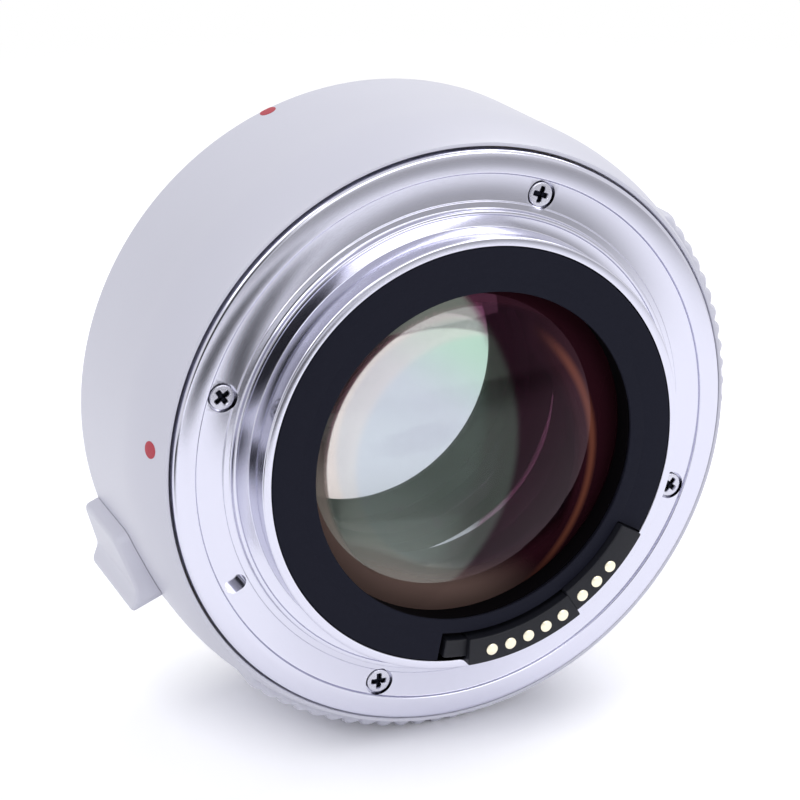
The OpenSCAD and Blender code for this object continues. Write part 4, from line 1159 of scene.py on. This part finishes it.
def dark_flag(name, centre, half_u, half_v, opacity):
    """A black screen that only reflections show: solid in its middle, and thinner towards its edge. Lying on
    the floor it is painted shadow on the paper.

    The distance from the centre, each way in half sides of the sheet, goes through a smooth step to the
    opacity.
    """
    material, tree, place, out = new_material(name)
    shift = add(tree, "VectorMath", {0: place, 1: tuple(centre)}, operation="SUBTRACT")
    share = {}
    for axis, half in (("X", half_u), ("Y", half_v)):
        way = np.array(half, float) / np.dot(half, half)
        part = add(
            tree, "VectorMath", {0: shift.outputs[0], 1: tuple(way)}, operation="DOT_PRODUCT"
        )
        share[axis] = part.outputs["Value"]
    pair = add(tree, "CombineXYZ", share)
    away = add(tree, "VectorMath", {0: pair.outputs[0]}, operation="LENGTH")
    solid = add(
        tree, "MapRange",
        {
            "Value": away.outputs["Value"], "From Min": FLAG_SOLID, "From Max": 1.0,
            "To Min": opacity, "To Max": 0.0,
        },
        interpolation_type="SMOOTHSTEP",
    )
    clear = add(tree, "BsdfTransparent")
    black = add(tree, "BsdfDiffuse", {"Color": linear("#0C0C0F")})
    dark_screen = add(
        tree, "MixShader", {0: solid.outputs[0], 1: clear.outputs[0], 2: black.outputs[0]}
    )
    tree.links.new(dark_screen.outputs[0], out.inputs[0])
    sheet = stage_sheet(name, centre, half_u, half_v, material)
    sheet.visible_camera = False
    sheet.visible_diffuse = False
    sheet.visible_shadow = False


def softbox(name, spot, size, power):
    """A soft rectangular lamp at a spot, turned towards the object."""
    light = bpy.data.lights.new(name, "AREA")
    light.shape = "RECTANGLE"
    light.size, light.size_y = size
    light.energy = power
    lamp = bpy.data.objects.new(name, light)
    toward = -np.array(spot) / np.linalg.norm(spot)
    aside = np.cross(toward, (0, 0, 1.0))
    aside /= np.linalg.norm(aside)
    turn = np.eye(4)
    turn[:3, :3] = np.stack([aside, np.cross(aside, toward), -toward], 1)
    turn[:3, 3] = spot
    lamp.matrix_world = Matrix(turn.tolist())
    bpy.context.scene.collection.objects.link(lamp)


def studio():
    """White paper sweep under soft lamps from the right, left and front, dark flags and an even sky.

    Lamps, flags and floor are placed in metres. Three of the flags lie just above the floor as painted
    shadow on the paper.
    """
    low = cad_box[0][2]
    lying = low + 0.001
    stage_sheet("studio_floor", (0, 0, low), (FLOOR_HALF, 0, 0), (0, FLOOR_HALF, 0), white_paper())
    softbox("softbox_right", spot=(0.62, 0.25, 0.8), size=(0.6, 0.6), power=4.2)
    softbox("softbox_left", spot=(-0.6, -0.1, 0.8), size=(0.7, 0.7), power=3.6)
    softbox("softbox_front", spot=(0.17, -0.64, 0.26), size=(0.45, 0.3), power=1.2)
    dark_flag("flag_behind_camera", (-0.13, -0.3, 0.06), (0.2, 0, 0), (0, 0, 0.16), opacity=1.0)
    # Painted shadow on the paper in front of the object, seen only in metal and glass.
    dark_flag("flag_front_left", (-0.12, -0.12, lying), (0.11, 0, 0), (0, 0.085, 0), opacity=0.97)
    dark_flag(
        "flag_front", (0.021, -0.138, lying + 0.001), (0.034, -0.041, 0), (0.025, 0.02, 0), opacity=0.95
    )
    dark_flag("flag_front_right", (0.12, -0.3, lying), (0.2, 0, 0), (0, 0.2, 0), opacity=0.55)
    world = bpy.data.worlds.new("studio_sky")
    world.use_nodes = True
    tree = world.node_tree
    sky = tree.nodes["Background"]
    sky.inputs["Color"].default_value = linear("#F4F5F8")
    sky.inputs["Strength"].default_value = SKY_STRENGTH
    white = add(tree, "Background", {"Color": linear("#FFFFFF"), "Strength": 1.0})
    both = add(tree, "MixShader", {0: seen_ray(tree), 1: sky.outputs[0], 2: white.outputs[0]})
    tree.links.new(both.outputs[0], tree.nodes["World Output"].inputs[0])
    bpy.context.scene.world = world


def viewpoint():
    """Camera at the photograph's angle and distance, with its focal length."""
    turn, lift = np.radians((VIEW_A, VIEW_LIFT))
    back = np.array([np.sin(turn) * np.cos(lift), -np.cos(turn) * np.cos(lift), np.sin(lift)])
    right = np.array([np.cos(turn), np.sin(turn), 0.0])
    axes = np.stack([right, np.cross(back, right), back], 1)
    view = np.eye(4)
    view[:3, :3] = axes
    view[:3, 3] = axes @ np.array(VIEW_PLACE) * MM
    optics = bpy.data.cameras.new("photo_view")
    optics.sensor_width = VIEW_SENSOR
    optics.lens = VIEW_FOCAL
    optics.clip_start = 0.01
    optics.clip_end = 20.0
    camera = bpy.data.objects.new("photo_view", optics)
    camera.matrix_world = Matrix(view.tolist())
    bpy.context.scene.collection.objects.link(camera)
    bpy.context.scene.camera = camera


viewpoint()
studio()
build_object()
bpy.context.scene.view_settings.view_transform = "Standard"
